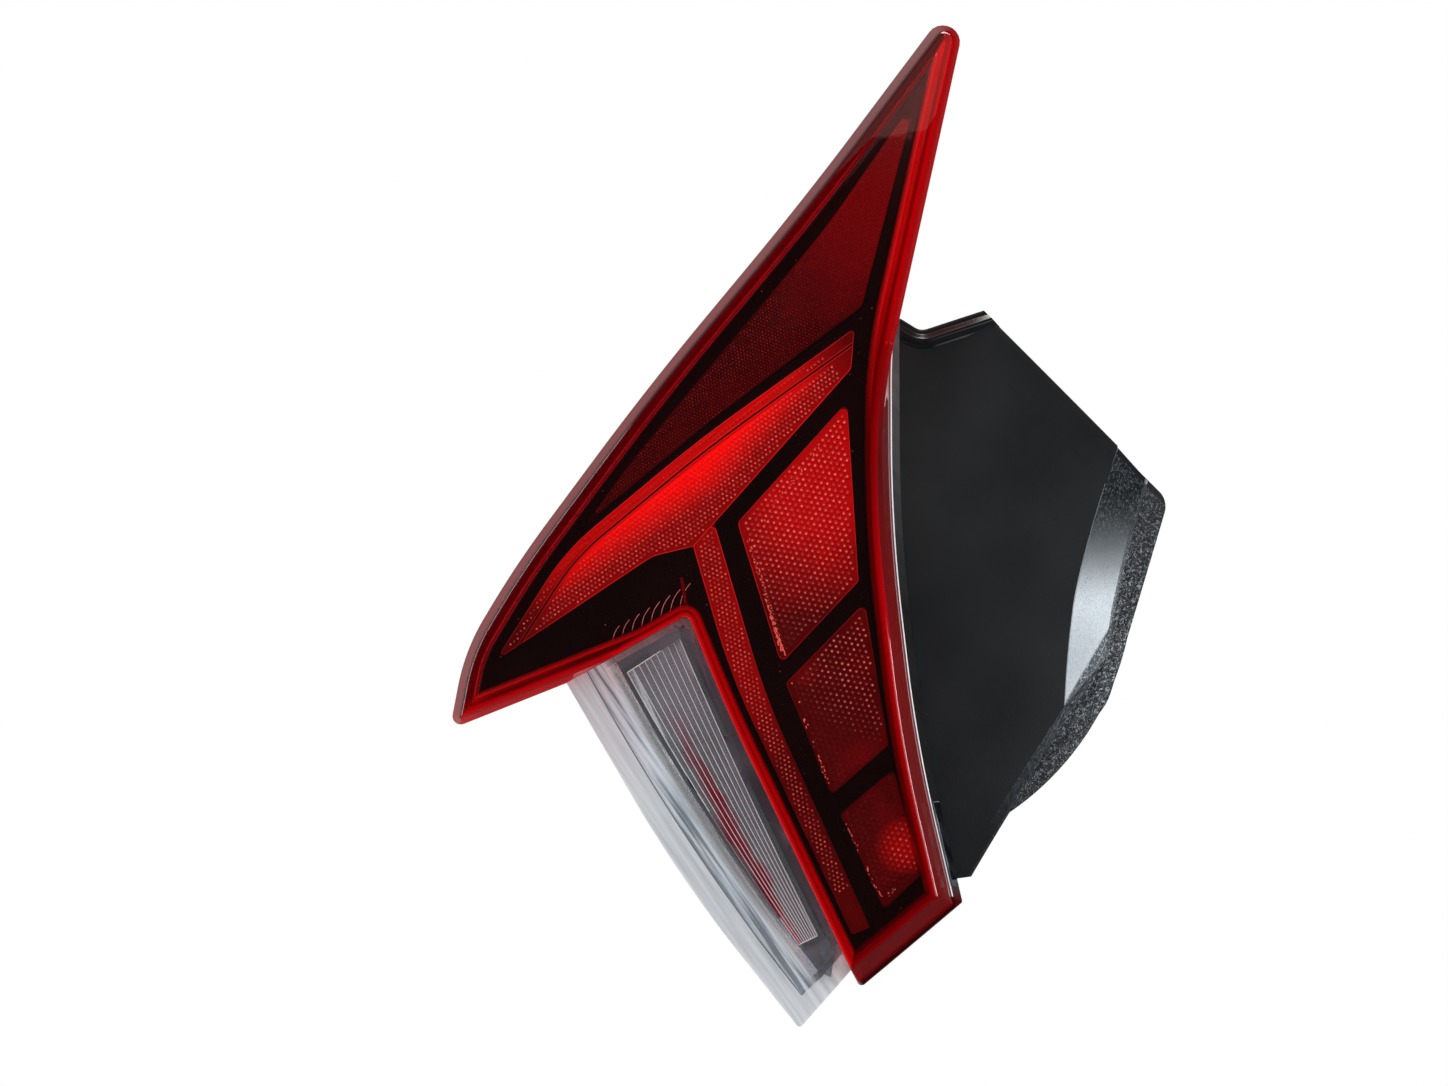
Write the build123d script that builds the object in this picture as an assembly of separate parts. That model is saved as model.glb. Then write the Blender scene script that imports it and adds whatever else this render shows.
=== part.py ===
from build123d import *
import math
import os

# Left tail light cluster of a car, seen from behind the car as it is fitted.
# +Z is up, +X points to the middle of the car and -Y points out of the lens, to the rear.
# The origin is midway between the two mounting studs, on the back wall's outer face.

# Dome: the lens face is part of a ball, and each layer behind it lies on a ball with the same centre
DOME_RADIUS = 520.0
DOME_X = 20.0
DOME_Z = -15.0
LENS_REACH = 95.0
CUT_REACH = 140.0

# Outer lens: red and clear mouldings, and the clear weld foot that carries both
LENS_WALL = 2.8
LIP_DEPTH = 9.0
LENS_DEPTH = 25.0
FOOT_HEIGHT = 3.0
FOOT_WIDTH = 5.5
FOOT_SHOWS = 2.7
FOOT_TAB = (-122.0, 36.0, 1.2)
LIP_OVERHANG = 5.0
EDGE_ROUND = 2.0
FIN = ((-48.2, -23.2), (-50.7, -7.3))
FIN_WALL = 1.5
FOOT_STEP = 0.6
CLEAR_DROP = 2.0
CLEAR_FLANGE = 9.0
CLEAR_END = 9.0
SEAT_GAP = 0.2

# Lean of the lens walls, as inset for each millimetre of height
TIP_DRAFT = 0.1
SIDE_DRAFT = 0.28
BASE_DRAFT = 0.4
CLEAR_DRAFT = 0.8

# Inner bezel and the lit pieces in its windows
BEZEL_DEPTH = 12.0
BEZEL_WALL = 2.5
BEZEL_GAPS = [1.8, 1.8, 1.0, 1.0, 2.8] + [0.8] * 9
BEZEL_SKIRT = 2.0
SKIRT_DEPTH = 24.0
WINDOW_GAP = 0.3
SEAT_FLANGE = 1.5
INNER_WALL = 2.5
WING_RISE = 5.0
WING_RIDGE = ((-96.3, -0.8), (26.5, 93.7))
CROWN_RADIUS = 75.0
GROOVE_AT = 4.3
GROOVE_WIDTH = 1.3
GROOVE_DEPTH = 1.2
STRIP_RISE = 2.0
REFLEX_RISE = 1.5
TILE_DROP = 0.8

# Metallised reflectors
TRAY_WALL = 2.0
TRAY_DEPTH = 60.0
CELL_WALL_TOP = 36.0
BOWL_RIM = 13.0
BOWL_DEPTH = 34.0
BOWL_END_DEPTH = 10.0
FLUTES = 9
FLUTE_HEIGHT = 0.035
OPTIC_THICK = 2.4
LINER_WALL = 1.5
LINER_TOP = 15.0

# Housing: the cup behind the lens and the stepped plate beside it
HOUSING_WALL = 3.0
TIP_DEPTH = 40.0
PLATE_DEPTH = 29.0
STEP_DEPTH = 16.0
STEP_DRAFT = 0.95
STEP_END_DRAFT = 0.3
PLATE_FRONT = -70.0
PLATE_BACK = -25.0
BEAD_WIDTH = 2.5
BEAD_HEIGHT = 1.5
RIB_WALL = 2.0
RIB_PITCH = 38.0
RIB_CENTRE = (85.0, -10.0)

# Bulbs and their twist-lock sockets, centred at (x, z)
TAIL_BULB = (-47.0, 30.0)
STOP_BULB = (4.0, 0.0)
REVERSE_BULB = (-35.0, -89.0)
SOCKET_RADIUS = 14.0
SOCKET_CLEARANCE = 0.5
SOCKET_FLANGE_RADIUS = 18.0
SOCKET_FLANGE = 3.0
SOCKET_NOSE = 22.0
SEAL_THICK = 1.5
SEAL_WIDTH = 3.0
GRIP_LENGTH = 15.0
GRIP_WIDTH = 9.0
BASE_RADIUS = 7.5
BASE_LENGTH = 20.0
GLASS_RADIUS = 12.5
GLASS_CENTRE = 50.0
BLADE = (6.3, 0.8, 9.0)
BLADE_PITCH = 8.0

# Fixings on the back wall
STUD_RADIUS = 3.0
STUD_SHOULDER = 5.0
STUD_LENGTH = 22.0
STUD_PITCH = 210.0
STUD_HEAD_RADIUS = 8.0
STUD_HEAD = 2.0
PAD_RADIUS = 15.0
PAD_BORE = 5.5
PAD_THICK = 2.0
PIN_AT = (-102.0, -22.0)
PIN_RADIUS = 4.0
PIN_LENGTH = 16.0
SCREW_RADIUS = 1.5
SCREW_LENGTH = 14.0
SCREW_HEAD_RADIUS = 3.5
SCREW_HEAD = 2.2
POST_RADIUS = 3.5
TAIL_POSTS = [(-95.0, -14.0), (2.0, 74.0)]
STOP_POSTS = [(10.0, 40.0), (37.0, -128.0)]
REVERSE_POSTS = [(-58.0, -46.0), (0.0, -154.0)]
VENTS = [(-22.0, 84.0), (12.0, -165.0)]
VENT_RADIUS = 4.0
VENT_LENGTH = 6.0
VENT_CAP_WALL = 1.5

# Corners of the outlines seen from the rear, as (x, z, corner radius), clockwise
TIP = (80.4, 261.9, 8.3)
SIDE_TOP = (40.0, 83.8, 230.0)
SIDE_MIDDLE = (40.0, 12.9, 645.0)
SIDE_LOW = (50.7, -77.4, 727.0)
BASE_RIGHT = (67.9, -149.6, 2.6)
BASE_LEFT = (26.2, -185.3, 2.0)
NOTCH = (22.4, -177.2, 0.0)
CLEAR_FOOT = (0.0, -203.4, 1.5)
CLEAR_MIDDLE = (-52.0, -136.7, 940.0)
CLEAR_TOP = (-100.6, -52.9, 0.0)
BEAK = (-150.9, -73.1, 3.6)
BEAK_TOP = (-144.1, -38.7, 90.0)
FLANK_LOW = (-121.7, -1.7, 448.0)
FLANK_MIDDLE = (-65.4, 74.0, 1480.0)
FLANK_TOP = (1.3, 154.8, 1480.0)
DIVIDER_LOW = (-31.4, -64.5, 800.0)
DIVIDER_TOP = (-48.2, -23.2, 2.6)

FLANK = [BEAK, BEAK_TOP, FLANK_LOW, FLANK_MIDDLE, FLANK_TOP]
SIDE = [TIP, SIDE_TOP, SIDE_MIDDLE, SIDE_LOW, BASE_RIGHT, BASE_LEFT]
RED = SIDE + [DIVIDER_LOW, DIVIDER_TOP, CLEAR_TOP] + FLANK
CLEAR = [DIVIDER_TOP, DIVIDER_LOW, NOTCH, CLEAR_FOOT, CLEAR_MIDDLE, CLEAR_TOP]
CLEAR_ARC = [(-100.6, -52.9), (-50.4, -135.2), (0.0, -203.4)]
WHOLE = SIDE + [NOTCH, CLEAR_FOOT, CLEAR_MIDDLE, CLEAR_TOP] + FLANK

WING = [
    (22.8, 98.5, 1.0), (21.5, 81.7, 4.0), (-37.0, 15.9, 2.0), (-15.5, -57.2, 300.0),
    (29.7, -157.4, 1.0), (22.4, -160.4, 1.0), (-29.7, -48.6, 300.0), (-45.6, 6.0, 1.5),
    (-63.2, 1.7, 15.0), (-130.3, -43.0, 1.0), (-100.0, 4.0, 100.0), (-42.6, 51.6, 600.0),
]
WING_FACE = WING[:2] + WING[7:]
WING_STRIP = WING[2:8]
REFLEX = [
    (49.9, 198.7, 2.0), (26.2, 108.4, 8.0), (-40.0, 58.2, 800.0),
    (-92.5, 14.6, 1.0), (-68.8, 46.4, 150.0), (10.8, 141.9, 300.0),
]
TILES = [
    [(19.8, 67.1, 2.0), (24.5, -9.0, 2.0), (-8.2, -43.9, 2.0), (-26.7, 15.9, 3.0)],
    [(27.1, -18.5, 2.0), (37.4, -78.7, 2.0), (13.3, -100.2, 2.0), (-6.0, -52.5, 2.0)],
    [(39.6, -89.4, 2.0), (53.3, -132.9, 2.0), (36.1, -149.6, 2.0), (17.2, -108.4, 2.0)],
]
STOP = [
    (19.8, 67.1, 2.0), (25.0, -9.0, 100.0), (53.3, -132.9, 2.0),
    (36.1, -149.6, 2.0), (12.0, -100.2, 200.0), (-9.5, -43.9, 200.0), (-26.7, 15.9, 3.0),
]
CELL_WALLS = [((-7.0, -48.5), (26.0, -14.0)), ((15.0, -104.5), (38.5, -84.0))]
PLATE = [
    (43.0, 104.1, 1.0), (52.0, 98.5, 6.0), (79.1, 107.5, 4.0), (137.2, 48.6, 0.0), (118.8, -12.0, 150.0),
    (113.8, -63.0, 0.0), (67.5, -137.6, 2.0), (30.0, -137.0, 1.0), (10.0, 13.0, 1.0), (10.0, 84.0, 1.0),
]
STEP_EDGE = [
    (137.2, 48.6, 0.5), (160.4, 25.8, 9.0), (133.7, -62.0, 25.0), (103.2, -99.8, 40.0),
    (79.5, -115.2, 1.0), (90.0, -75.0, 1.0), (108.0, -45.0, 1.0), (128.0, 45.0, 1.0),
]
# Reverse bowl: left rim, right rim and depth at its top, middle and foot
BOWL = [
    ((-74.5, -48.0), (-51.5, -33.0), BOWL_END_DEPTH),
    ((-43.0, -101.6), (-25.1, -92.8), BOWL_DEPTH),
    ((-0.7, -165.6), (8.0, -161.4), BOWL_END_DEPTH),
]

# Inset of the weld foot along each edge of the whole outline and of the red outline
FLANK_STEPS = [LIP_OVERHANG] * 5
SIDE_STEPS = [LIP_OVERHANG, FOOT_STEP, FOOT_STEP, FOOT_STEP, FOOT_STEP]
RED_STEPS = SIDE_STEPS + [0.0, 0.0, 0.0, LIP_OVERHANG] + FLANK_STEPS
RED_DRAFTS = [TIP_DRAFT, SIDE_DRAFT, SIDE_DRAFT, SIDE_DRAFT, BASE_DRAFT] + [0.0] * 9
CUP_STEPS = SIDE_STEPS + [1.0, 1.0, 1.0, 1.0, LIP_OVERHANG] + FLANK_STEPS
FOOT_STEPS = [LIP_OVERHANG] + [-FOOT_SHOWS] * 3 + [0.0] * 5 + [LIP_OVERHANG] + FLANK_STEPS
CLEAR_STEPS = [SEAT_GAP, SEAT_GAP, CLEAR_END, 1.0, 1.0, SEAT_GAP]
FOOT_DEPTH = LENS_DEPTH + FOOT_HEIGHT
RIM_DEPTH = FOOT_DEPTH + SEAT_GAP
FLANGE_TOP = BEZEL_DEPTH + BEZEL_WALL + SEAT_GAP
FLANGE_BACK = FLANGE_TOP + INNER_WALL
TRAY_RIM = FLANGE_BACK + SEAT_GAP


def moved(before, corner, after, step_in, step_out):
    """Corner after the edges that meet in it have each been moved inwards by a step."""
    length_in = math.dist(before[:2], corner[:2])
    length_out = math.dist(corner[:2], after[:2])
    ax, az = (corner[0] - before[0]) / length_in, (corner[1] - before[1]) / length_in
    bx, bz = (after[0] - corner[0]) / length_out, (after[1] - corner[1]) / length_out
    turn = ax * bz - az * bx
    gap_x = bz * step_out - az * step_in
    gap_z = ax * step_in - bx * step_out
    along = (gap_x * bz - gap_z * bx) / turn
    radius = corner[2]
    if radius > 0:
        radius = max(radius + math.copysign((step_in + step_out) / 2, turn), 0.4)
    return (corner[0] + az * step_in + ax * along, corner[1] - ax * step_in + az * along, radius)


def inset(corners, steps):
    """Outline with each edge moved inwards; edge i starts at corner i."""
    if not isinstance(steps, list):
        steps = [steps] * len(corners)
    ring = corners + corners[:1]
    result = []
    for i, corner in enumerate(corners):
        result.append(moved(corners[i - 1], corner, ring[i + 1], steps[i - 1], steps[i]))
    return result


def grown(steps, extra):
    return [step + extra for step in steps]


def dome_y(x, z, depth):
    """Height y of the layer that lies a depth behind the lens face."""
    reach = (DOME_RADIUS - depth) ** 2 - (x - DOME_X) ** 2 - (z - DOME_Z) ** 2
    return DOME_RADIUS - LENS_REACH - math.sqrt(reach)


def leaned(corners, drafts, depth, y):
    """Outline at height y of walls that stand on the given outline at the given depth."""
    ring = corners + corners[:1]
    result = []
    for i, corner in enumerate(corners):
        rise = dome_y(corner[0], corner[1], depth) - y
        result.append(moved(corners[i - 1], corner, ring[i + 1], drafts[i - 1] * rise, drafts[i] * rise))
    return result


def outline(corners, y=0.0):
    """Face of an outline at height y; a corner radius is kept within half of its shorter edge."""
    points = [(x, z) for x, z, radius in corners]
    ring = points + points[:1]
    radii = []
    for i, (x, z, radius) in enumerate(corners):
        into = (x - points[i - 1][0], z - points[i - 1][1])
        out = (ring[i + 1][0] - x, ring[i + 1][1] - z)
        turn = math.atan2(into[0] * out[1] - into[1] * out[0], into[0] * out[0] + into[1] * out[1])
        room = 0.48 * min(math.hypot(*into), math.hypot(*out))
        radii.append(min(radius, room / math.tan(abs(turn) / 2)))
    return Plane.XZ.offset(-y) * make_face(FilletPolyline(*points, radius=radii, close=True))


def prism(corners):
    return extrude(outline(corners), amount=CUT_REACH, both=True)


def leaning_prism(corners, drafts, depth, front=-110.0, back=30.0):
    faces = [outline(leaned(corners, drafts, depth, y), y) for y in (back, front)]
    return loft(faces, ruled=True)


def upright_wall(start, end, extra, thick):
    """Wall along Y above the line between two points, longer than the line by an extra at each end."""
    turn = math.degrees(math.atan2(end[1] - start[1], end[0] - start[0]))
    middle = Pos((start[0] + end[0]) / 2, 0, (start[1] + end[1]) / 2)
    length = math.dist(start, end) + 2 * extra
    return middle * Rot(0, -turn, 0) * Box(length, 2 * CUT_REACH, thick)


def ball(depth):
    return Pos(DOME_X, DOME_RADIUS - LENS_REACH, DOME_Z) * Sphere(DOME_RADIUS - depth)


def layer(solid, top, bottom):
    return solid & ball(top) - ball(bottom)


def rod(at, radius, y_front, y_back):
    """Round bar along Y."""
    return Pos(at[0], y_back, at[1]) * extrude(Plane.XZ * Circle(radius), amount=y_back - y_front)


def behind(y):
    """Half space to the front of the car from height y."""
    return Pos(0, y + 200, 0) * Box(900, 400, 900)


def red_lens():
    lean = [draft * (FOOT_DEPTH - LIP_DEPTH) for draft in RED_DRAFTS]
    rim = [(x, z, max(r, 1.3 * EDGE_ROUND) if r else r) for x, z, r in inset(RED, lean)]
    cap = layer(prism(rim), 0, LIP_DEPTH)
    face = cap.faces().filter_by(GeomType.SPHERE).sort_by(Axis.Y)[0]
    cap = fillet(face.edges(), EDGE_ROUND)
    cap -= prism(inset(rim, LENS_WALL)) & ball(LENS_WALL)
    foot = leaning_prism(inset(RED, RED_STEPS), RED_DRAFTS, FOOT_DEPTH)
    foot -= leaning_prism(inset(RED, grown(RED_STEPS, LENS_WALL)), RED_DRAFTS, FOOT_DEPTH)
    cap += layer(foot, LENS_WALL / 2, LENS_DEPTH - SEAT_GAP)
    return cap + layer(upright_wall(*FIN, 0, FIN_WALL), LENS_WALL / 2, BEZEL_DEPTH - SEAT_GAP)


def clear_cone(step):
    """Cone along the outer edge of the clear window, square to the dome and leaning in to the rear."""
    feet = [Vector(x, dome_y(x, z, FOOT_DEPTH), z) for x, z in CLEAR_ARC]
    outward = feet[1] - Vector(DOME_X, DOME_RADIUS - LENS_REACH, DOME_Z)
    plane = Plane(origin=feet[1], x_dir=(feet[0] - feet[2]).cross(outward), z_dir=outward)
    local = [plane.to_local_coords(foot) for foot in feet]
    arc = ThreePointArc(*[(foot.X - foot.Z * CLEAR_DRAFT, foot.Y) for foot in local])
    radius = arc.radius - CLEAR_FLANGE - step + LENS_DEPTH * CLEAR_DRAFT
    base = plane.offset(-LENS_DEPTH) * Pos(arc.arc_center.X, arc.arc_center.Y) * Circle(radius)
    return extrude(base, amount=4 * LENS_DEPTH, taper=math.degrees(math.atan(CLEAR_DRAFT)))


def clear_lens():
    base = inset(CLEAR, CLEAR_STEPS)
    window = layer(prism(base) & clear_cone(0), CLEAR_DROP, FOOT_DEPTH)
    hollow = prism(inset(base, LENS_WALL)) & clear_cone(LENS_WALL) & ball(CLEAR_DROP + LENS_WALL)
    foot = prism(inset(WHOLE, FOOT_STEPS)) - prism(inset(WHOLE, grown(FOOT_STEPS, FOOT_WIDTH)))
    flange = prism(inset(CLEAR, [SEAT_GAP, SEAT_GAP, 0.0, 0.0, 0.0, SEAT_GAP]))
    lens = layer(foot + flange, LENS_DEPTH, FOOT_DEPTH) + window - hollow
    tab = prism(inset(WHOLE, FOOT_STEPS)) - prism(WHOLE)
    tab &= Pos(0, 0, FOOT_TAB[0]) * Box(300, 300, FOOT_TAB[1])
    return lens + layer(tab, LENS_DEPTH - FOOT_TAB[2], FOOT_DEPTH)


def inner_bezel():
    lean = [draft * (FOOT_DEPTH - BEZEL_DEPTH) for draft in RED_DRAFTS]
    steps = [sum(parts) + LENS_WALL for parts in zip(RED_STEPS, lean, BEZEL_GAPS)]
    skirt_steps = [step - 1.0 for step in steps[:8]] + grown(steps[8:], BEZEL_SKIRT)
    edge = inset(RED, steps)
    bezel = layer(prism(edge), BEZEL_DEPTH, BEZEL_DEPTH + BEZEL_WALL)
    bezel += layer(prism(edge) - prism(inset(RED, skirt_steps)), BEZEL_DEPTH, SKIRT_DEPTH)
    for window in [WING, REFLEX] + TILES:
        bezel -= prism(inset(window, -WINDOW_GAP))
    return bezel


def inner_lens(corners, rise):
    """Moulded lens that stands in a bezel window, with a seat flange behind the bezel."""
    lens = layer(prism(corners), BEZEL_DEPTH - rise, FLANGE_BACK)
    lens += layer(prism(inset(corners, -SEAT_FLANGE)), FLANGE_TOP, FLANGE_BACK)
    return lens - (prism(inset(corners, INNER_WALL)) & ball(BEZEL_DEPTH - rise + INNER_WALL))


def crown(sink):
    """Ring about the dome's centre: the wing's rounded face, a sink below its surface."""
    centre = Vector(DOME_X, DOME_RADIUS - LENS_REACH, DOME_Z)
    top = BEZEL_DEPTH - WING_RISE
    ends = [Vector(x, dome_y(x, z, top), z) - centre for x, z in WING_RIDGE]
    ring = Torus(DOME_RADIUS - top - CROWN_RADIUS, CROWN_RADIUS - sink)
    return Plane(origin=centre, z_dir=ends[0].cross(ends[1])) * ring


def tail_lens():
    strip_top = BEZEL_DEPTH - STRIP_RISE
    lens = prism(WING_FACE) & crown(0)
    lens += prism(WING_STRIP) & ball(strip_top)
    lens -= ball(FLANGE_BACK)
    lens += layer(prism(inset(WING, -SEAT_FLANGE)), FLANGE_TOP, FLANGE_BACK)
    lens -= prism(inset(WING_FACE, INNER_WALL)) & crown(INNER_WALL)
    lens -= prism(inset(WING_STRIP, INNER_WALL)) & ball(strip_top + INNER_WALL)
    near, far = [[-1.0] * 4 + [step] * 3 for step in (GROOVE_AT, GROOVE_AT + GROOVE_WIDTH)]
    return lens - (prism(inset(WING_FACE, near)) - prism(inset(WING_FACE, far)) - crown(GROOVE_DEPTH))


def stop_lens():
    lens = layer(prism(inset(STOP, -SEAT_FLANGE)), FLANGE_TOP, FLANGE_BACK)
    for tile in TILES:
        lens += layer(prism(tile), BEZEL_DEPTH + TILE_DROP, FLANGE_BACK)
    return lens


def tray(corners, posts, bulb):
    """Open reflector box with posts that stand on the back wall and an opening for its bulb."""
    outer = prism(inset(corners, -SEAT_FLANGE))
    box = layer(outer, TRAY_RIM, TRAY_DEPTH + TRAY_WALL)
    for at in posts:
        box += rod(at, POST_RADIUS, -CUT_REACH / 2, -HOUSING_WALL) & ball(TRAY_DEPTH)
    box -= prism(inset(corners, TRAY_WALL - SEAT_FLANGE)) & ball(0) - ball(TRAY_DEPTH)
    for at in posts:
        box -= rod(at, SCREW_RADIUS + 0.1, -SCREW_LENGTH, 0)
    return box - rod(bulb, SOCKET_RADIUS, -CUT_REACH, 0)


def tail_reflector():
    return tray(WING_FACE, TAIL_POSTS, TAIL_BULB)


def stop_reflector():
    box = tray(STOP, STOP_POSTS, STOP_BULB)
    room = prism(inset(STOP, -SEAT_FLANGE / 2)) & ball(CELL_WALL_TOP) - ball(TRAY_DEPTH + TRAY_WALL / 2)
    for start, end in CELL_WALLS:
        box += upright_wall(start, end, 25, TRAY_WALL) & room
    return box


def across(left, right, part, y):
    """Point at a part of the way from the left rim to the right rim of the reverse bowl."""
    return (left[0] + (right[0] - left[0]) * part, y, left[1] + (right[1] - left[1]) * part)


def bowl_rim(left, right):
    return dome_y((left[0] + right[0]) / 2, (left[1] + right[1]) / 2, BOWL_RIM)


def bowl_section(left, right, depth, wall):
    """Parabola across the reverse bowl: its inside at wall 0, and its outside at its wall."""
    rim = bowl_rim(left, right)
    spread = wall / math.dist(left, right)
    front = rim if wall else rim - 30
    ends = [across(left, right, part, rim + wall) for part in (-spread, 1 + spread)]
    tops = [across(left, right, part, front) for part in (-spread, 1 + spread)]
    low = across(left, right, 0.5, rim + wall + 2 * depth)
    curve = Bezier(ends[0], low, ends[1])
    return make_face([curve, Line(ends[1], tops[1]), Line(tops[1], tops[0]), Line(tops[0], ends[0])])


def bowl_rows(extra):
    """Rows of the reverse bowl, with its ends moved outwards along its length."""
    run_x = BOWL[2][0][0] - BOWL[0][0][0]
    run_z = BOWL[2][0][1] - BOWL[0][0][1]
    rows = []
    for i, (left, right, depth) in enumerate(BOWL):
        shift = (i - 1) * extra / math.hypot(run_x, run_z)
        left = (left[0] + run_x * shift, left[1] + run_z * shift)
        right = (right[0] + run_x * shift, right[1] + run_z * shift)
        rows.append((left, right, depth))
    return rows


def reverse_reflector():
    bowl = loft([bowl_section(*row, TRAY_WALL) for row in bowl_rows(TRAY_WALL)])
    for at in REVERSE_POSTS:
        bowl += rod(at, POST_RADIUS, dome_y(at[0], at[1], BOWL_RIM + BOWL_END_DEPTH), -HOUSING_WALL)
    bowl -= loft([bowl_section(*row, 0) for row in BOWL])
    for at in REVERSE_POSTS:
        bowl -= rod(at, SCREW_RADIUS + 0.1, -SCREW_LENGTH, 0)
    return bowl - rod(REVERSE_BULB, SOCKET_RADIUS, -CUT_REACH, 0)


def optic_section(left, right, depth):
    """Section of the fluted optic that lies in the mouth of the reverse bowl."""
    rim = bowl_rim(left, right)
    levels = [SEAT_GAP, SEAT_GAP + OPTIC_THICK]
    side = 2 * SEAT_GAP / math.dist(left, right)
    front, back = [side + (1 - math.sqrt(1 - level / depth)) / 2 for level in levels]
    y_front, y_back = [rim + level for level in levels]
    pitch = (1 - 2 * front) / FLUTES
    crest = y_front - FLUTE_HEIGHT * math.dist(left, right)
    edges = []
    for i in range(FLUTES):
        parts = [front + (i + step) * pitch for step in (0, 0.5, 1)]
        points = [across(left, right, part, y) for part, y in zip(parts, (y_front, crest, y_front))]
        edges.append(ThreePointArc(*points))
    sides = [(1 - front, y_front), (1 - back, y_back), (back, y_back), (front, y_front)]
    corners = [across(left, right, part, y) for part, y in sides]
    return make_face(edges + [Line(a, b) for a, b in zip(corners, corners[1:])])


def reverse_optic():
    return loft([optic_section(*row) for row in bowl_rows(-2 * SEAT_GAP)])


def reverse_liner():
    """Bright liner inside the leaning wall of the clear window, standing on its flange."""
    room = prism(inset(inset(CLEAR, CLEAR_STEPS), LENS_WALL + 2 * SEAT_GAP))
    skin = clear_cone(LENS_WALL + 2 * SEAT_GAP) - clear_cone(LENS_WALL + 2 * SEAT_GAP + LINER_WALL)
    return layer(room & skin, LINER_TOP, LENS_DEPTH - SEAT_GAP)


def housing():
    cup = inset(WHOLE, CUP_STEPS)
    body = prism(cup) & ball(RIM_DEPTH) - (ball(TIP_DEPTH) & behind(0))
    drafts = [0.0] * 3 + [STEP_DRAFT] * 2 + [STEP_END_DRAFT] + [0.0] * 4
    step = PLATE_DEPTH + STEP_DEPTH
    plate = leaning_prism(PLATE, drafts, PLATE_DEPTH, PLATE_FRONT, PLATE_BACK)
    plate = layer(plate, PLATE_DEPTH, step + HOUSING_WALL)
    under = leaning_prism(inset(PLATE, HOUSING_WALL), drafts, PLATE_DEPTH, PLATE_FRONT, PLATE_BACK)
    under &= ball(PLATE_DEPTH + HOUSING_WALL)
    plate -= under
    for i in range(-2, 3):
        shift = i * RIB_PITCH / math.sqrt(2)
        at = Pos(RIB_CENTRE[0] + shift, 0, RIB_CENTRE[1] + shift)
        rib = at * Rot(0, 45, 0) * Box(2 * CUT_REACH, 2 * CUT_REACH, RIB_WALL)
        plate += rib & layer(under, PLATE_DEPTH + HOUSING_WALL / 2, step - HOUSING_WALL / 2)
    bead_steps = [BEAD_WIDTH] * 3 + [-5.0] * 7
    bead = prism(PLATE) - prism(inset(PLATE, bead_steps))
    plate += layer(bead, PLATE_DEPTH - BEAD_HEIGHT, PLATE_DEPTH + HOUSING_WALL)
    edge = layer(prism(STEP_EDGE), step, step + HOUSING_WALL)
    edge -= under
    plate -= prism(inset(WHOLE, grown(FOOT_STEPS, -SEAT_GAP))) & ball(0) - ball(RIM_DEPTH)
    body = body + plate + edge
    body -= prism(inset(cup, HOUSING_WALL)) - (ball(TIP_DEPTH - HOUSING_WALL) & behind(-HOUSING_WALL))
    boss = PAD_THICK + HOUSING_WALL
    for z in (STUD_PITCH / 2, -STUD_PITCH / 2):
        body += rod((0, z), PAD_RADIUS + 2.5, -boss, -HOUSING_WALL / 2)
        body -= rod((0, z), PAD_RADIUS + SEAT_GAP, -PAD_THICK, 1)
        body -= rod((0, z), STUD_SHOULDER + SEAT_GAP, -boss - 1, 1)
    for at in (TAIL_BULB, STOP_BULB, REVERSE_BULB):
        body -= rod(at, SOCKET_RADIUS + SOCKET_CLEARANCE, -HOUSING_WALL - 1, 1)
    for at in TAIL_POSTS + STOP_POSTS + REVERSE_POSTS:
        body -= rod(at, SCREW_RADIUS + SEAT_GAP, -HOUSING_WALL - 1, 1)
    for at in VENTS:
        body += rod(at, VENT_RADIUS, -HOUSING_WALL / 2, VENT_LENGTH)
    pin = rod(PIN_AT, PIN_RADIUS, -HOUSING_WALL / 2, PIN_LENGTH)
    return body + chamfer(pin.edges().sort_by(Axis.Y)[-1], PIN_RADIUS / 3)


def socket(at):
    """Twist-lock bulb socket: nose through the wall, flange on its seal, and a flat grip."""
    face = SEAL_THICK + SOCKET_FLANGE
    part = rod(at, SOCKET_RADIUS, -SOCKET_NOSE, face) + rod(at, SOCKET_FLANGE_RADIUS, SEAL_THICK, face)
    part += Pos(at[0], face + GRIP_LENGTH / 2, at[1]) * Box(2 * SOCKET_RADIUS, GRIP_LENGTH, GRIP_WIDTH)
    part -= rod(at, BASE_RADIUS + SEAT_GAP, -SOCKET_NOSE - 1, BASE_LENGTH - GLASS_CENTRE + GLASS_RADIUS + 3)
    return part


def seal(at):
    ring = rod(at, SOCKET_FLANGE_RADIUS, 0, SEAL_THICK)
    return ring - rod(at, SOCKET_FLANGE_RADIUS - SEAL_WIDTH, -1, SEAL_THICK + 1)


def bulb_base(at):
    foot = BASE_LENGTH - GLASS_CENTRE + GLASS_RADIUS + 3
    return rod(at, BASE_RADIUS, foot - BASE_LENGTH, foot)


def bulb_glass(at):
    neck = GLASS_RADIUS + 3 - GLASS_CENTRE
    globe = Pos(at[0], -GLASS_CENTRE, at[1]) * Sphere(GLASS_RADIUS)
    return globe + rod(at, BASE_RADIUS - 0.5, -GLASS_CENTRE, neck)


def terminal_blades():
    blades = []
    for at in (TAIL_BULB, STOP_BULB, REVERSE_BULB):
        y = SEAL_THICK + SOCKET_FLANGE + GRIP_LENGTH + BLADE[2] / 2
        for side in (-BLADE_PITCH, BLADE_PITCH):
            blades.append(Pos(at[0] + side, y, at[1]) * Box(BLADE[0], BLADE[2], BLADE[1]))
    return Compound(blades)


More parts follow.
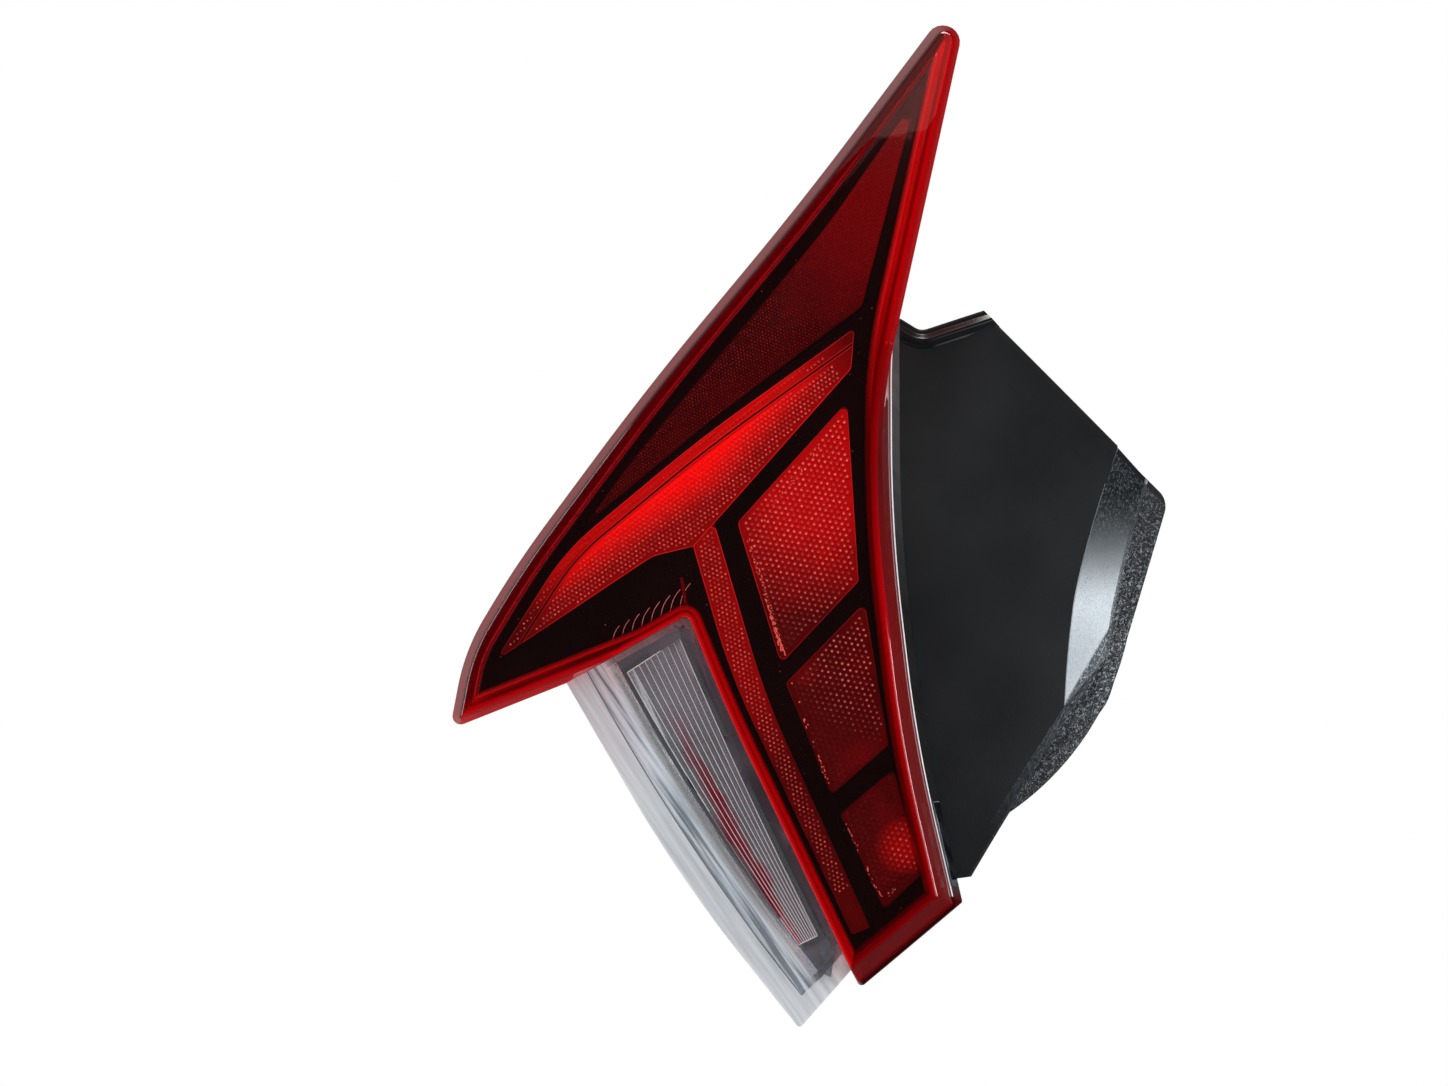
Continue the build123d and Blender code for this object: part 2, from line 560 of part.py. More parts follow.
def mounting_studs():
    studs = []
    seat = -PAD_THICK - HOUSING_WALL
    for z in (STUD_PITCH / 2, -STUD_PITCH / 2):
        stud = rod((0, z), STUD_RADIUS, seat, STUD_LENGTH)
        stud = chamfer(stud.edges().sort_by(Axis.Y)[-1], STUD_RADIUS / 4)
        stud += rod((0, z), STUD_SHOULDER, seat, 0)
        studs.append(stud + rod((0, z), STUD_HEAD_RADIUS, seat - STUD_HEAD, seat))
    return Compound(studs)


def stud_pads():
    pads = []
    for z in (STUD_PITCH / 2, -STUD_PITCH / 2):
        pads.append(rod((0, z), PAD_RADIUS, -PAD_THICK, 0) - rod((0, z), PAD_BORE, -PAD_THICK - 1, 1))
    return Compound(pads)


def reflector_screws():
    screws = []
    for at in TAIL_POSTS + STOP_POSTS + REVERSE_POSTS:
        head = rod(at, SCREW_HEAD_RADIUS, 0, SCREW_HEAD)
        head = fillet(head.edges().sort_by(Axis.Y)[-1], SCREW_HEAD / 2)
        screws.append(head + rod(at, SCREW_RADIUS, 0.5 - SCREW_LENGTH, 0))
    return Compound(screws)


def vent_caps():
    caps = []
    for at in VENTS:
        cap = rod(at, VENT_RADIUS + SEAT_GAP + VENT_CAP_WALL, 1, VENT_LENGTH + VENT_CAP_WALL)
        caps.append(cap - rod(at, VENT_RADIUS + SEAT_GAP, 0, VENT_LENGTH))
    return Compound(caps)


PIECES = {
    "housing": housing(),
    "red_lens": red_lens(),
    "clear_lens": clear_lens(),
    "inner_bezel": inner_bezel(),
    "tail_lens": tail_lens(),
    "reflex_panel": inner_lens(REFLEX, REFLEX_RISE),
    "stop_lens": stop_lens(),
    "tail_reflector": tail_reflector(),
    "stop_reflector": stop_reflector(),
    "reverse_reflector": reverse_reflector(),
    "reverse_optic": reverse_optic(),
    "reverse_liner": reverse_liner(),
    "tail_socket": socket(TAIL_BULB),
    "stop_socket": socket(STOP_BULB),
    "reverse_socket": socket(REVERSE_BULB),
    "tail_seal": seal(TAIL_BULB),
    "stop_seal": seal(STOP_BULB),
    "reverse_seal": seal(REVERSE_BULB),
    "tail_bulb_base": bulb_base(TAIL_BULB),
    "stop_bulb_base": bulb_base(STOP_BULB),
    "reverse_bulb_base": bulb_base(REVERSE_BULB),
    "tail_bulb": bulb_glass(TAIL_BULB),
    "stop_bulb": bulb_glass(STOP_BULB),
    "reverse_bulb": bulb_glass(REVERSE_BULB),
    "terminal_blades": terminal_blades(),
    "mounting_studs": mounting_studs(),
    "stud_pads": stud_pads(),
    "reflector_screws": reflector_screws(),
    "vent_caps": vent_caps(),
}

os.makedirs("parts", exist_ok=True)
for name, piece in PIECES.items():
    export_step(piece, "parts/" + name + ".step")
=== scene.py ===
import bpy
import bmesh
import math
import random
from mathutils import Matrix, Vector
from mathutils.geometry import delaunay_2d_cdt


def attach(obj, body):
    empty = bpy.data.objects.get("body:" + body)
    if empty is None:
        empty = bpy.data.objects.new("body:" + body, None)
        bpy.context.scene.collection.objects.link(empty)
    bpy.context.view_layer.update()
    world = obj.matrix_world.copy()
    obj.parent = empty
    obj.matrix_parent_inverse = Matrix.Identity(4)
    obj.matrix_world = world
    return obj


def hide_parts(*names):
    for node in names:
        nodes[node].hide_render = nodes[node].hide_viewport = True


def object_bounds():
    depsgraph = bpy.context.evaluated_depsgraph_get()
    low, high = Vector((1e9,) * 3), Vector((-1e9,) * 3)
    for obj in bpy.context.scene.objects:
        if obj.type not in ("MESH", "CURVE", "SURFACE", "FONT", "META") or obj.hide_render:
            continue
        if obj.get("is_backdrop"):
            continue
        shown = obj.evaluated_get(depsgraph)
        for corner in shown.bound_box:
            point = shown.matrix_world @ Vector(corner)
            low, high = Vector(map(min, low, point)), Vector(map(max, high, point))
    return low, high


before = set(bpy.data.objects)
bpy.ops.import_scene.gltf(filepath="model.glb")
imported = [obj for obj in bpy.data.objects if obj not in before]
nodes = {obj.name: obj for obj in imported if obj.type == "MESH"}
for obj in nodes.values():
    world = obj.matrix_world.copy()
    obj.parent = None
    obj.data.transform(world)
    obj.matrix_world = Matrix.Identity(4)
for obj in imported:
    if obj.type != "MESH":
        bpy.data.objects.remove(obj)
cad_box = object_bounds()


# Studio: the lamp hangs in front of a white background, over a pale paper floor that takes its shadow.
# The camera stands three metres behind the car, level with the lamp, with a long lens.
# Soft boxes light the lens and the housing, and cards put highlights on the flange, the tip and the lips.
CAMERA_AT = (-0.0327, -3.06, 0.0073)
CAMERA_LENS = 173.5
LAMP_MIDDLE = (0, -0.05, 0)
WHITE = (1, 1, 1)
LIGHTS = (
    ("front_fill", (0.1, -2.2, 0.5), (1.2, 1.2), 22, WHITE, False),
    ("top_box", (-0.15, -0.75, 1.5), (1.2, 0.7), 12, WHITE, False),
    ("left_box", (-1.5, -0.25, 0.35), (0.5, 1.4), 10, WHITE, True),
    ("right_box", (1.25, 0.1, -0.16), (0.42, 0.42), 8, (0.84, 0.93, 1.0), True),
    ("flange_card", (1.0, -0.6, -0.4), (0.9, 0.9), 4, WHITE, True),
    ("tip_card", (0.265, -0.796, 1.346), (0.9, 0.39), 0.9, (1.0, 0.45, 0.4), True),
    ("top_strip", (0.15, 0.05, 1.2), (0.7, 0.3), 8, WHITE, True))
SURROUND = (("Is Glossy Ray", 0.03, 0.5, 0.03), ("Is Transmission Ray", 0.07, 1.0, 1.0))
SURROUND_FILL = 0.25
FLOOR_Z = -0.30
FLOOR_HALF = 0.9
FLOOR_FADE = 0.45

scene = bpy.context.scene
scene.view_settings.view_transform = "Standard"
camera = bpy.data.objects.new("camera", bpy.data.cameras.new("camera"))
camera.data.lens = CAMERA_LENS
camera.location = CAMERA_AT
camera.rotation_euler = (math.radians(90), 0, 0)
scene.collection.objects.link(camera)
scene.camera = camera

for name, at, size, power, colour, mirrored in LIGHTS:
    light = bpy.data.lights.new(name, "AREA")
    light.shape = "RECTANGLE"
    light.size, light.size_y = size
    light.energy = power
    light.color = colour
    box = bpy.data.objects.new(name, light)
    box.location = at
    box.rotation_euler = (Vector(LAMP_MIDDLE) - Vector(at)).to_track_quat("-Z", "Y").to_euler()
    box.visible_glossy = mirrored
    box.visible_transmission = mirrored
    scene.collection.objects.link(box)


def plug(tree, socket, value):
    """Links an input to another node's output, or sets its value."""
    if isinstance(value, bpy.types.NodeSocket):
        tree.links.new(value, socket)
    elif socket.type == "RGBA":
        socket.default_value = (*value, 1.0)
    else:
        socket.default_value = value


def feed(tree, node, **inputs):
    """Sets or links the inputs of a node by their names."""
    for key, value in inputs.items():
        plug(tree, node.inputs[key.replace("_", " ")], value)


def add(tree, kind, settings=None, **inputs):
    """New node with its settings made and its inputs set or linked."""
    made = tree.nodes.new(kind)
    for key, value in (settings or {}).items():
        setattr(made, key, value)
    feed(tree, made, **inputs)
    return made


def first_of(tree, kind, settings=None, **inputs):
    """First output of a new node."""
    return add(tree, kind, settings, **inputs).outputs[0]


def calc(tree, operation, *values, kind="Math", **settings):
    """Number that a Math or Vector Math node gives."""
    made = add(tree, "ShaderNode" + kind, {"operation": operation, **settings})
    for socket, value in zip(made.inputs, values):
        plug(tree, socket, value)
    return made.outputs["Value"]


def remap(tree, value, given=(0.0, 1.0), result=(0.0, 1.0), curve="LINEAR"):
    """Value that crosses the result range while another crosses the given range."""
    made = add(tree, "ShaderNodeMapRange", {"interpolation_type": curve}, Value=value, From_Min=given[0],
               From_Max=given[1], To_Min=result[0], To_Max=result[1])
    return made.outputs["Result"]


def ramp(tree, value, *stops):
    """Colour ramp over a value: stops are (position, colour or grey)."""
    made = add(tree, "ShaderNodeValToRGB", Fac=value)
    for i, (at, colour) in enumerate(stops):
        stop = made.color_ramp.elements[i] if i < 2 else made.color_ramp.elements.new(at)
        stop.position = at
        stop.color = (*colour, 1.0) if isinstance(colour, tuple) else (colour, colour, colour, 1.0)
    return made.outputs["Color"]


def part_of(tree, vector, axis):
    """One coordinate of a vector."""
    return add(tree, "ShaderNodeSeparateXYZ", Vector=vector).outputs[axis]


def noise(tree, at, scale, detail, **more):
    """Noise from 0 to 1."""
    return add(tree, "ShaderNodeTexNoise", Vector=at, Scale=scale, Detail=detail, **more).outputs["Fac"]


def opened(material):
    """Node tree of a material, its shader and the place on the piece, in the frame of the lamp."""
    tree = material.node_tree
    return tree, tree.nodes["Principled BSDF"], add(tree, "ShaderNodeTexCoord").outputs["Object"]


def new_finish(name):
    """New material, opened."""
    material = bpy.data.materials.new(name)
    material.use_nodes = True
    return material, *opened(material)


def end_in(tree, share, first, second):
    """Ends a material in a mix of two shaders."""
    mixed = add(tree, "ShaderNodeMixShader", Fac=share)
    plug(tree, mixed.inputs[1], first)
    plug(tree, mixed.inputs[2], second)
    feed(tree, tree.nodes["Material Output"], Surface=mixed.outputs["Shader"])


world = bpy.data.worlds.new("white_surround")
scene.world = world
world.use_nodes = True
sky = world.node_tree
ray = add(sky, "ShaderNodeLightPath").outputs
heading = add(sky, "ShaderNodeTexCoord").outputs["Generated"]
level = ray["Is Camera Ray"]
for kind, front, left, right in SURROUND:
    behind = remap(sky, part_of(sky, heading, "Y"), (-0.75, 0.1), (front, 1.0))
    aside = remap(sky, part_of(sky, heading, "X"), (-0.3, 0.2), (left, right))
    seen = calc(sky, "MULTIPLY", ray[kind], calc(sky, "MULTIPLY", behind, aside))
    level = calc(sky, "MAXIMUM", seen, level)
level = calc(sky, "ADD", level, calc(sky, "MULTIPLY", ray["Is Diffuse Ray"], SURROUND_FILL))
feed(sky, sky.nodes["Background"], Color=WHITE, Strength=level)

paper, tree, shader, at = new_finish("floor_paper")
grain = ramp(tree, noise(tree, at, 333.0, 3.0), (0.3, 0.9), (0.7, 0.94))
feed(tree, shader, Base_Color=grain, Roughness=0.8)
away = remap(tree, calc(tree, "LENGTH", at, kind="VectorMath"), (FLOOR_FADE, FLOOR_HALF), curve="SMOOTHSTEP")
end_in(tree, away, shader.outputs["BSDF"], first_of(tree, "ShaderNodeBsdfTransparent"))
floor_mesh = bpy.data.meshes.new("floor")
floor_corners = [(x * FLOOR_HALF, y * FLOOR_HALF, FLOOR_Z) for x, y in ((-1, -1), (1, -1), (1, 1), (-1, 1))]
floor_mesh.from_pydata(floor_corners, [], [(0, 1, 2, 3)])
floor_mesh.materials.append(paper)
floor = bpy.data.objects.new("floor", floor_mesh)
floor.visible_glossy = False
floor.visible_transmission = False
scene.collection.objects.link(floor)
floor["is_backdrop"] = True


# Housing: one black polypropylene moulding, the cup behind the lens and the stepped plate beside it.
# The plate has a fine mould grain, and the step along its outer edge is spark-eroded to a coarse stipple.
# A glossy lip follows the plate's top edge, its slanted edge is eased, and a curved rim ends the flange.
MM = 0.001
DOME_CENTRE = (0.020, 0.425, -0.015)
DOME_RADIUS = 0.520
PLATE_DEPTH = 29.0
PLATE_EDGE = ((137.2, 48.6), (118.8, -12.0), (113.8, -63.0), (67.5, -137.6))
STEP_DEPTH = 45.0
STEP_TOP = ((79.1, 107.5), (160.4, 25.8))
STEP_LIT = (0.03, -0.02)
STIPPLE_SCALE = 760.0
STIPPLE_HEIGHT = 0.0009
STIPPLE_SHEEN_GREY = (0.31, 0.34, 0.38)
FLANGE_CENTRE = (21.5, -7.3)
FLANGE_RADIUS = 123.7
FLANGE_ARC = (-12.0, -60.0)
FLANGE_PIECES = 48
FLANGE_SECTION = ((-7.0, 44.88), (-1.0, 44.88), (-0.3, 45.2), (0.0, 45.9), (0.0, 48.12), (-7.0, 48.12))
LIP_LINE = ((43.4, 103.9), (52.0, 98.5), (79.5, 107.6))
LIP_BEND = 3.2
LIP_SECTION = ((-0.12, -1.5), (-0.12, 1.1), (0.1, 1.45), (0.5, 1.62), (1.6, 1.66), (2.0, 1.7), (2.15, 1.78),
               (2.3, 1.93), (3.0, 2.66), (3.7, 3.4), (3.9, 3.58), (4.1, 3.68), (4.6, 3.72), (5.2, 3.45),
               (5.9, 2.7), (6.6, 1.7), (7.3, 0.85), (8.0, 0.3), (8.6, 0.02), (8.6, -1.0))
EDGE_END = (137.2, 49.1)
EDGE_PIECES = 14
EDGE_SECTION = ((-0.1, -1.5), (-0.1, 1.2), (0.15, 1.5), (0.5, 1.62), (2.6, 1.62), (6.0, 0.95), (11.0, 0.25),
                (15.0, 0.02), (15.0, -1.0))
BAR_SHARP = 50
SOFT_CORNER = 0.005
DRIFT_SCALE = 22.0
DUST_SCALE = 170.0


def blend(tree, share, first, second, kind="MIX"):
    """Colour between two others."""
    made = add(tree, "ShaderNodeMix", {"data_type": "RGBA", "blend_type": kind})
    for socket, value in ((made.inputs[0], share), (made.inputs[6], first), (made.inputs[7], second)):
        plug(tree, socket, value)
    return made.outputs[2]


def moulded(name, dark, pale, gloss, grain, height, dust=None, metal=0.0):
    """Moulded or plated finish: a slight drift of colour and gloss over a fine grain, and specks of dust."""
    material, tree, shader, at = new_finish(name)
    drift = noise(tree, at, DRIFT_SCALE, 4.0)
    colour = ramp(tree, drift, (0.3, dark), (0.72, pale))
    if dust:
        cells = first_of(tree, "ShaderNodeTexVoronoi", Vector=at, Scale=DUST_SCALE)
        colour = blend(tree, remap(tree, cells, (0.05, 0.03)), colour, dust)
    bump = first_of(tree, "ShaderNodeBump", Strength=1.0, Distance=height, Height=noise(tree, at, grain, 2.0))
    feed(tree, shader, Base_Color=colour, Metallic=metal, Roughness=remap(tree, drift, (0.3, 0.7), gloss),
         Normal=bump)
    return material


def source(node, name):
    """Output that feeds an input of a node."""
    return node.inputs[name].links[0].from_socket


def beyond(tree, at, start, end):
    """Distance to the left of the line from start to end, (x, z) in mm, as seen from the rear."""
    length = math.dist(start, end)
    across = ((start[1] - end[1]) / length, 0.0, (end[0] - start[0]) / length)
    reach = calc(tree, "DOT_PRODUCT", at, across, kind="VectorMath")
    return calc(tree, "SUBTRACT", reach, (start[0] * across[0] + start[1] * across[2]) * MM)


def farthest(tree, operation, values):
    """Largest or smallest of some values."""
    best = values[0]
    for value in values[1:]:
        best = calc(tree, operation, best, value, SOFT_CORNER)
    return best


def by_depth(tree, at, start, end):
    """Value that rises from 0 to 1 between two depths behind the lens face, in mm."""
    away = calc(tree, "DISTANCE", at, DOME_CENTRE, kind="VectorMath")
    return remap(tree, away, (DOME_RADIUS - start * MM, DOME_RADIUS - end * MM))


def lens_point(x, z, depth):
    """Point at (x, z) in mm that lies a depth behind the lens face."""
    across, up = x * MM - DOME_CENTRE[0], z * MM - DOME_CENTRE[2]
    forward = math.sqrt((DOME_RADIUS - depth * MM) ** 2 - across ** 2 - up ** 2)
    return (x * MM, DOME_CENTRE[1] - forward, z * MM)


def finish_node(name, material):
    """Gives a CAD node its finish."""
    mesh = nodes[name].data
    mesh.materials.clear()
    mesh.materials.append(material)


def face_out(mesh, sharp, weld=0.0):
    """Turns the faces of a closed mesh outwards, smooth up to a sharp angle in degrees."""
    shape = bmesh.new()
    shape.from_mesh(mesh)
    if weld:
        bmesh.ops.remove_doubles(shape, verts=shape.verts, dist=weld)
        bmesh.ops.dissolve_degenerate(shape, edges=shape.edges, dist=weld / 2)
    bmesh.ops.recalc_face_normals(shape, faces=shape.faces)
    for face in shape.faces:
        face.smooth = True
    shape.to_mesh(mesh)
    shape.free()
    mesh.set_sharp_from_angle(angle=math.radians(sharp))


def settle(name, mesh):
    """Puts a finished mesh on the lamp as a piece of its own."""
    piece = bpy.data.objects.new(name, mesh)
    scene.collection.objects.link(piece)
    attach(piece, "root")
    return piece


def swept_bar(name, rows, material):
    """Bar with rounded faces through rows of points, closed at both ends."""
    count, last = len(rows[0]), (len(rows) - 1) * len(rows[0])
    faces = [(i + k, i + (k + 1) % count, i + count + (k + 1) % count, i + count + k)
             for i in range(0, last, count) for k in range(count)]
    faces += [tuple(range(count)), tuple(range(last + count - 1, last - 1, -1))]
    mesh = bpy.data.meshes.new(name)
    mesh.from_pydata([point for row in rows for point in row], [], faces)
    mesh.materials.append(material)
    face_out(mesh, BAR_SHARP)
    settle(name, mesh)


def edge_bar(name, line, section, cut, material):
    """Bar on the plate along a line of its edge, with its far end cut in a given direction."""
    ahead = (line[-1] - line[-2]).normalized()
    cut = cut / cut.dot(Vector((ahead.y, -ahead.x)))
    rows = []
    for i, point in enumerate(line):
        along = (line[min(i + 1, len(line) - 1)] - line[max(i - 1, 0)]).normalized()
        inward = Vector((along.y, -along.x)).lerp(cut, (i / (len(line) - 1)) ** 2)
        rows.append([lens_point(*(point + inward * inset), PLATE_DEPTH - rise) for inset, rise in section])
    swept_bar(name, rows, material)


housing_black = moulded("housing_black", (0.0085, 0.0097, 0.011), (0.0135, 0.015, 0.0165), (0.36, 0.48),
                        1100.0, 0.00004, (0.035, 0.037, 0.04))
tree, shader, at = opened(housing_black)
height = part_of(tree, at, "Z")
upper, middle, end = [beyond(tree, at, *side) for side in zip(PLATE_EDGE, PLATE_EDGE[1:])]
outside = farthest(tree, "MAXIMUM", [farthest(tree, "MINIMUM", [upper, middle]), end])
sunk = by_depth(tree, at, PLATE_DEPTH + 0.05, PLATE_DEPTH + 0.5)
step = calc(tree, "MULTIPLY", remap(tree, outside, (-0.004, -0.002)), sunk)
stippled = calc(tree, "MULTIPLY", step, remap(tree, beyond(tree, at, *STEP_TOP), (-0.002, -0.003)))
flange = by_depth(tree, at, STEP_DEPTH - 1.5, STEP_DEPTH - 0.3)
end_wall = remap(tree, end, (-0.001, 0.0))
sparks = noise(tree, at, STIPPLE_SCALE, 3.0, Distortion=1.1)
coarse = calc(tree, "MULTIPLY", sparks, stippled)
relief = calc(tree, "MULTIPLY", coarse, remap(tree, flange, result=(0.09, 1.0)))
stipple = first_of(tree, "ShaderNodeBump", Strength=1.0, Distance=STIPPLE_HEIGHT, Height=relief,
                   Normal=source(shader, "Normal"))
smooth = remap(tree, height, STEP_LIT, (1.5, 0.8), "SMOOTHSTEP")
rough = calc(tree, "MULTIPLY", source(shader, "Roughness"), remap(tree, stippled, result=(1.0, smooth)))
leaning = remap(tree, flange, result=(remap(tree, height, STEP_LIT, curve="SMOOTHSTEP"), 0.6))
turned = remap(tree, end_wall, result=(leaning, remap(tree, flange, result=(0.1, 0.6))))
# The stipple's crests are painted light grey, a painted sheen that is strongest a little below the middle of
# the step.
sheen_by_height = ramp(tree, remap(tree, height, (-0.12, 0.06)), (0.0, 0.0), (0.15, 0.35), (0.4, 1.0), (0.6, 0.7),
            (0.85, 0.25))
crests = remap(tree, sparks, (0.51, 0.68), (0.0, sheen_by_height))
topmost = remap(tree, height, (0.005, 0.035))
raised = calc(tree, "MULTIPLY", crests, farthest(tree, "MAXIMUM", [flange, end_wall, topmost]))
painted_sheen = calc(tree, "MULTIPLY", raised, stippled)
sheened_colour = blend(tree, painted_sheen, source(shader, "Base Color"), STIPPLE_SHEEN_GREY)
feed(tree, shader, Base_Color=sheened_colour, Roughness=rough, Normal=stipple,
     Specular_IOR_Level=remap(tree, step, result=(0.5, turned)))
finish_node("housing", housing_black)

rim_rows = []
for k in range(FLANGE_PIECES + 1):
    turn = math.radians(FLANGE_ARC[0] + (FLANGE_ARC[1] - FLANGE_ARC[0]) * k / FLANGE_PIECES)
    rim_rows.append([lens_point(FLANGE_CENTRE[0] + (FLANGE_RADIUS + wide) * math.cos(turn),
                                FLANGE_CENTRE[1] + (FLANGE_RADIUS + wide) * math.sin(turn), depth)
                     for wide, depth in FLANGE_SECTION])
swept_bar("flange_rim", rim_rows, housing_black)

lip_black = moulded("lip_black", (0.006, 0.0066, 0.0074), (0.010, 0.011, 0.012), (0.14, 0.22), 900.0, 0.00001)
first, bend, last = (Vector(point) for point in LIP_LINE)
enter = bend + (first - bend).normalized() * LIP_BEND
leave = bend + (last - bend).normalized() * LIP_BEND
lip = [first.lerp(enter, k / 6) for k in range(6)]
lip += [enter.lerp(bend, k / 8).lerp(bend.lerp(leave, k / 8), k / 8) for k in range(8)]
lip += [leave.lerp(last, k / 10) for k in range(11)]
top, foot = (Vector(point) for point in STEP_TOP)
edge_bar("plate_lip", lip, LIP_SECTION, foot - top, lip_black)
slant = [top.lerp(Vector(EDGE_END), k / EDGE_PIECES) for k in range(EDGE_PIECES + 1)]
edge_bar("plate_edge", slant, EDGE_SECTION, Vector(PLATE_EDGE[1]) - Vector(PLATE_EDGE[0]), housing_black)


# Fixings on the back: zinc-plated steel studs moulded into the housing and self-tapping screws driven
# into it, foam pads stuck round the studs, and rubber caps and seals pushed on to vents and sockets.
zinc = moulded("zinc_plate", (0.50, 0.50, 0.48), (0.62, 0.61, 0.57), (0.28, 0.42), 900.0, 0.00003, metal=1.0)
for name in ("mounting_studs", "reflector_screws"):
    finish_node(name, zinc)
foam = moulded("pad_foam", (0.03, 0.03, 0.031), (0.055, 0.055, 0.056), (0.85, 0.95), 700.0, 0.0005)
finish_node("stud_pads", foam)
rubber = moulded("black_rubber", (0.014, 0.014, 0.014), (0.024, 0.024, 0.024), (0.6, 0.75), 800.0, 0.0001)
for name in ("vent_caps", "tail_seal", "stop_seal", "reverse_seal"):
    finish_node(name, rubber)


# Reflectors: moulded trays and a bowl, vacuum metallised to a bright mirror and screwed into the housing.
# A bright liner stands inside the leaning wall of the clear window, with a satin finish.
mirror = moulded("metallised", (0.8, 0.81, 0.83), (0.9, 0.91, 0.92), (0.06, 0.14), 300.0, 0.00002, metal=1.0)
for name in ("tail_reflector", "stop_reflector", "reverse_reflector"):
    finish_node(name, mirror)
satin = moulded("satin_liner", (0.2, 0.23, 0.26), (0.34, 0.38, 0.42), (0.22, 0.34), 500.0, 0.00003, metal=0.6)
finish_node("reverse_liner", satin)


# Bulbs: grey twist-lock sockets, moulded round tinned blades and turned into the back of the housing.
# Each holds a bulb by its plated brass base, under a blown globe of clear glass.
socket_grey = moulded("socket_grey", (0.20, 0.205, 0.21), (0.27, 0.275, 0.28), (0.45, 0.6), 900.0, 0.00006)
brass = moulded("plated_brass", (0.62, 0.5, 0.26), (0.75, 0.63, 0.36), (0.22, 0.38), 700.0, 0.00003,
                metal=1.0)
tin = moulded("tinned_blade", (0.6, 0.58, 0.52), (0.72, 0.7, 0.64), (0.25, 0.4), 900.0, 0.00003, metal=1.0)


def see_through(name, colour, shade, ior, gloss):
    """Clear moulding or glass: refracts and reflects, and lets coloured light through to what is behind."""
    material, tree, shader, at = new_finish(name)
    feed(tree, shader, Base_Color=colour, Transmission_Weight=1.0, IOR=ior,
         Roughness=remap(tree, noise(tree, at, 60.0, 5.0), (0.35, 0.7), gloss))
    shadow = add(tree, "ShaderNodeLightPath").outputs["Is Shadow Ray"]
    end_in(tree, shadow, shader.outputs["BSDF"], first_of(tree, "ShaderNodeBsdfTransparent", Color=shade))
    return material


globe = see_through("bulb_glass", (0.97, 0.97, 0.96), (0.95, 0.95, 0.94), 1.5, (0.0, 0.03))
for lamp in ("tail", "stop", "reverse"):
    finish_node(lamp + "_socket", socket_grey)
    finish_node(lamp + "_bulb_base", brass)
    finish_node(lamp + "_bulb", globe)
finish_node("terminal_blades", tin)


# Inner bezel: gloss black moulding whose windows frame the lit lenses, clipped in behind the outer lens.
# A fan of fine ribs is moulded on it above the clear window, painted pale grey as painted highlights.
RIB_COUNT = 8
RIB_START = (-79.9, -34.6)
RIB_STEP = (4.1, 2.0)
RIB_TALL = 6.5
RIB_TALLER = 0.6
RIB_LEAN = 0.4
RIB_CURVE = 2.2
RIB_RADIUS = 0.14
RAY_START = -0.2
RAY_DIRECTION = (0, 1, 0)
RAY_LENGTH = 0.4


def new_tree(name, result, **inputs):
    """New geometry tree with named inputs and a finish, and the outputs of its group input."""
    tree = bpy.data.node_groups.new(name, "GeometryNodeTree")
    for label, kind in {**inputs, "Finish": "Material"}.items():
        tree.interface.new_socket(label, in_out="INPUT", socket_type="NodeSocket" + kind)
    tree.interface.new_socket(result, in_out="OUTPUT", socket_type="NodeSocketGeometry")
    return tree, add(tree, "NodeGroupInput").outputs


def end_tree(tree, given, geometry):
    """Ends a geometry tree: the shape gets its finish."""
    painted = first_of(tree, "GeometryNodeSetMaterial", Geometry=geometry, Material=given["Finish"])
    plug(tree, add(tree, "NodeGroupOutput").inputs[0], painted)


def end_in_tube(tree, given, curve, sides):
    """Ends a geometry tree in a thin round tube along a curve."""
    ring = first_of(tree, "GeometryNodeCurvePrimitiveCircle", Resolution=sides, Radius=given["Radius"])
    tube = first_of(tree, "GeometryNodeCurveToMesh", Curve=curve, Profile_Curve=ring, Fill_Caps=True)
    end_tree(tree, given, tube)


def mesh_of(tree, piece):
    """Mesh of another piece."""
    made = add(tree, "GeometryNodeObjectInfo", {"transform_space": "ORIGINAL"}, Object=piece)
    return made.outputs["Geometry"]


def lay_tree():
    """Thin round lines along the edges of a mesh, laid on the front of another piece."""
    tree, given = new_tree("laid_lines", "Ridges", Lines="Geometry", Onto="Object", Radius="Float")
    curve = first_of(tree, "GeometryNodeMeshToCurve", Mesh=given["Lines"])
    ray = add(tree, "GeometryNodeRaycast", Target_Geometry=mesh_of(tree, given["Onto"]),
              Ray_Direction=RAY_DIRECTION, Ray_Length=RAY_LENGTH).outputs
    laid = first_of(tree, "GeometryNodeSetPosition", Geometry=curve, Selection=ray["Is Hit"],
                    Position=ray["Hit Position"])
    end_in_tube(tree, given, laid, 10)
    return tree


def grow(name, slot, tree, material, lines=(), **inputs):
    """Piece made by a node tree: its inputs are set, its mesh is kept and the modifier is taken off."""
    points, edges = [], []
    for line in lines:
        edges += [(len(points) + k, len(points) + k + 1) for k in range(len(line) - 1)]
        points += [(x * MM, RAY_START, z * MM) for x, z in line]
    start = bpy.data.meshes.new(name)
    start.from_pydata(points, edges, [])
    piece = bpy.data.objects.new(name, start)
    scene.collection.objects.link(piece)
    maker = piece.modifiers.new("maker", "NODES")
    maker.node_group = tree
    named = {item.name: item.identifier for item in tree.interface.items_tree if item.in_out == "INPUT"}
    for key, value in inputs.items():
        maker[named[key]] = value
    maker[named["Finish"]] = material
    made = bpy.data.meshes.new_from_object(piece.evaluated_get(bpy.context.evaluated_depsgraph_get()))
    made.name = name
    piece.modifiers.clear()
    piece.data = made
    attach(piece, "root")


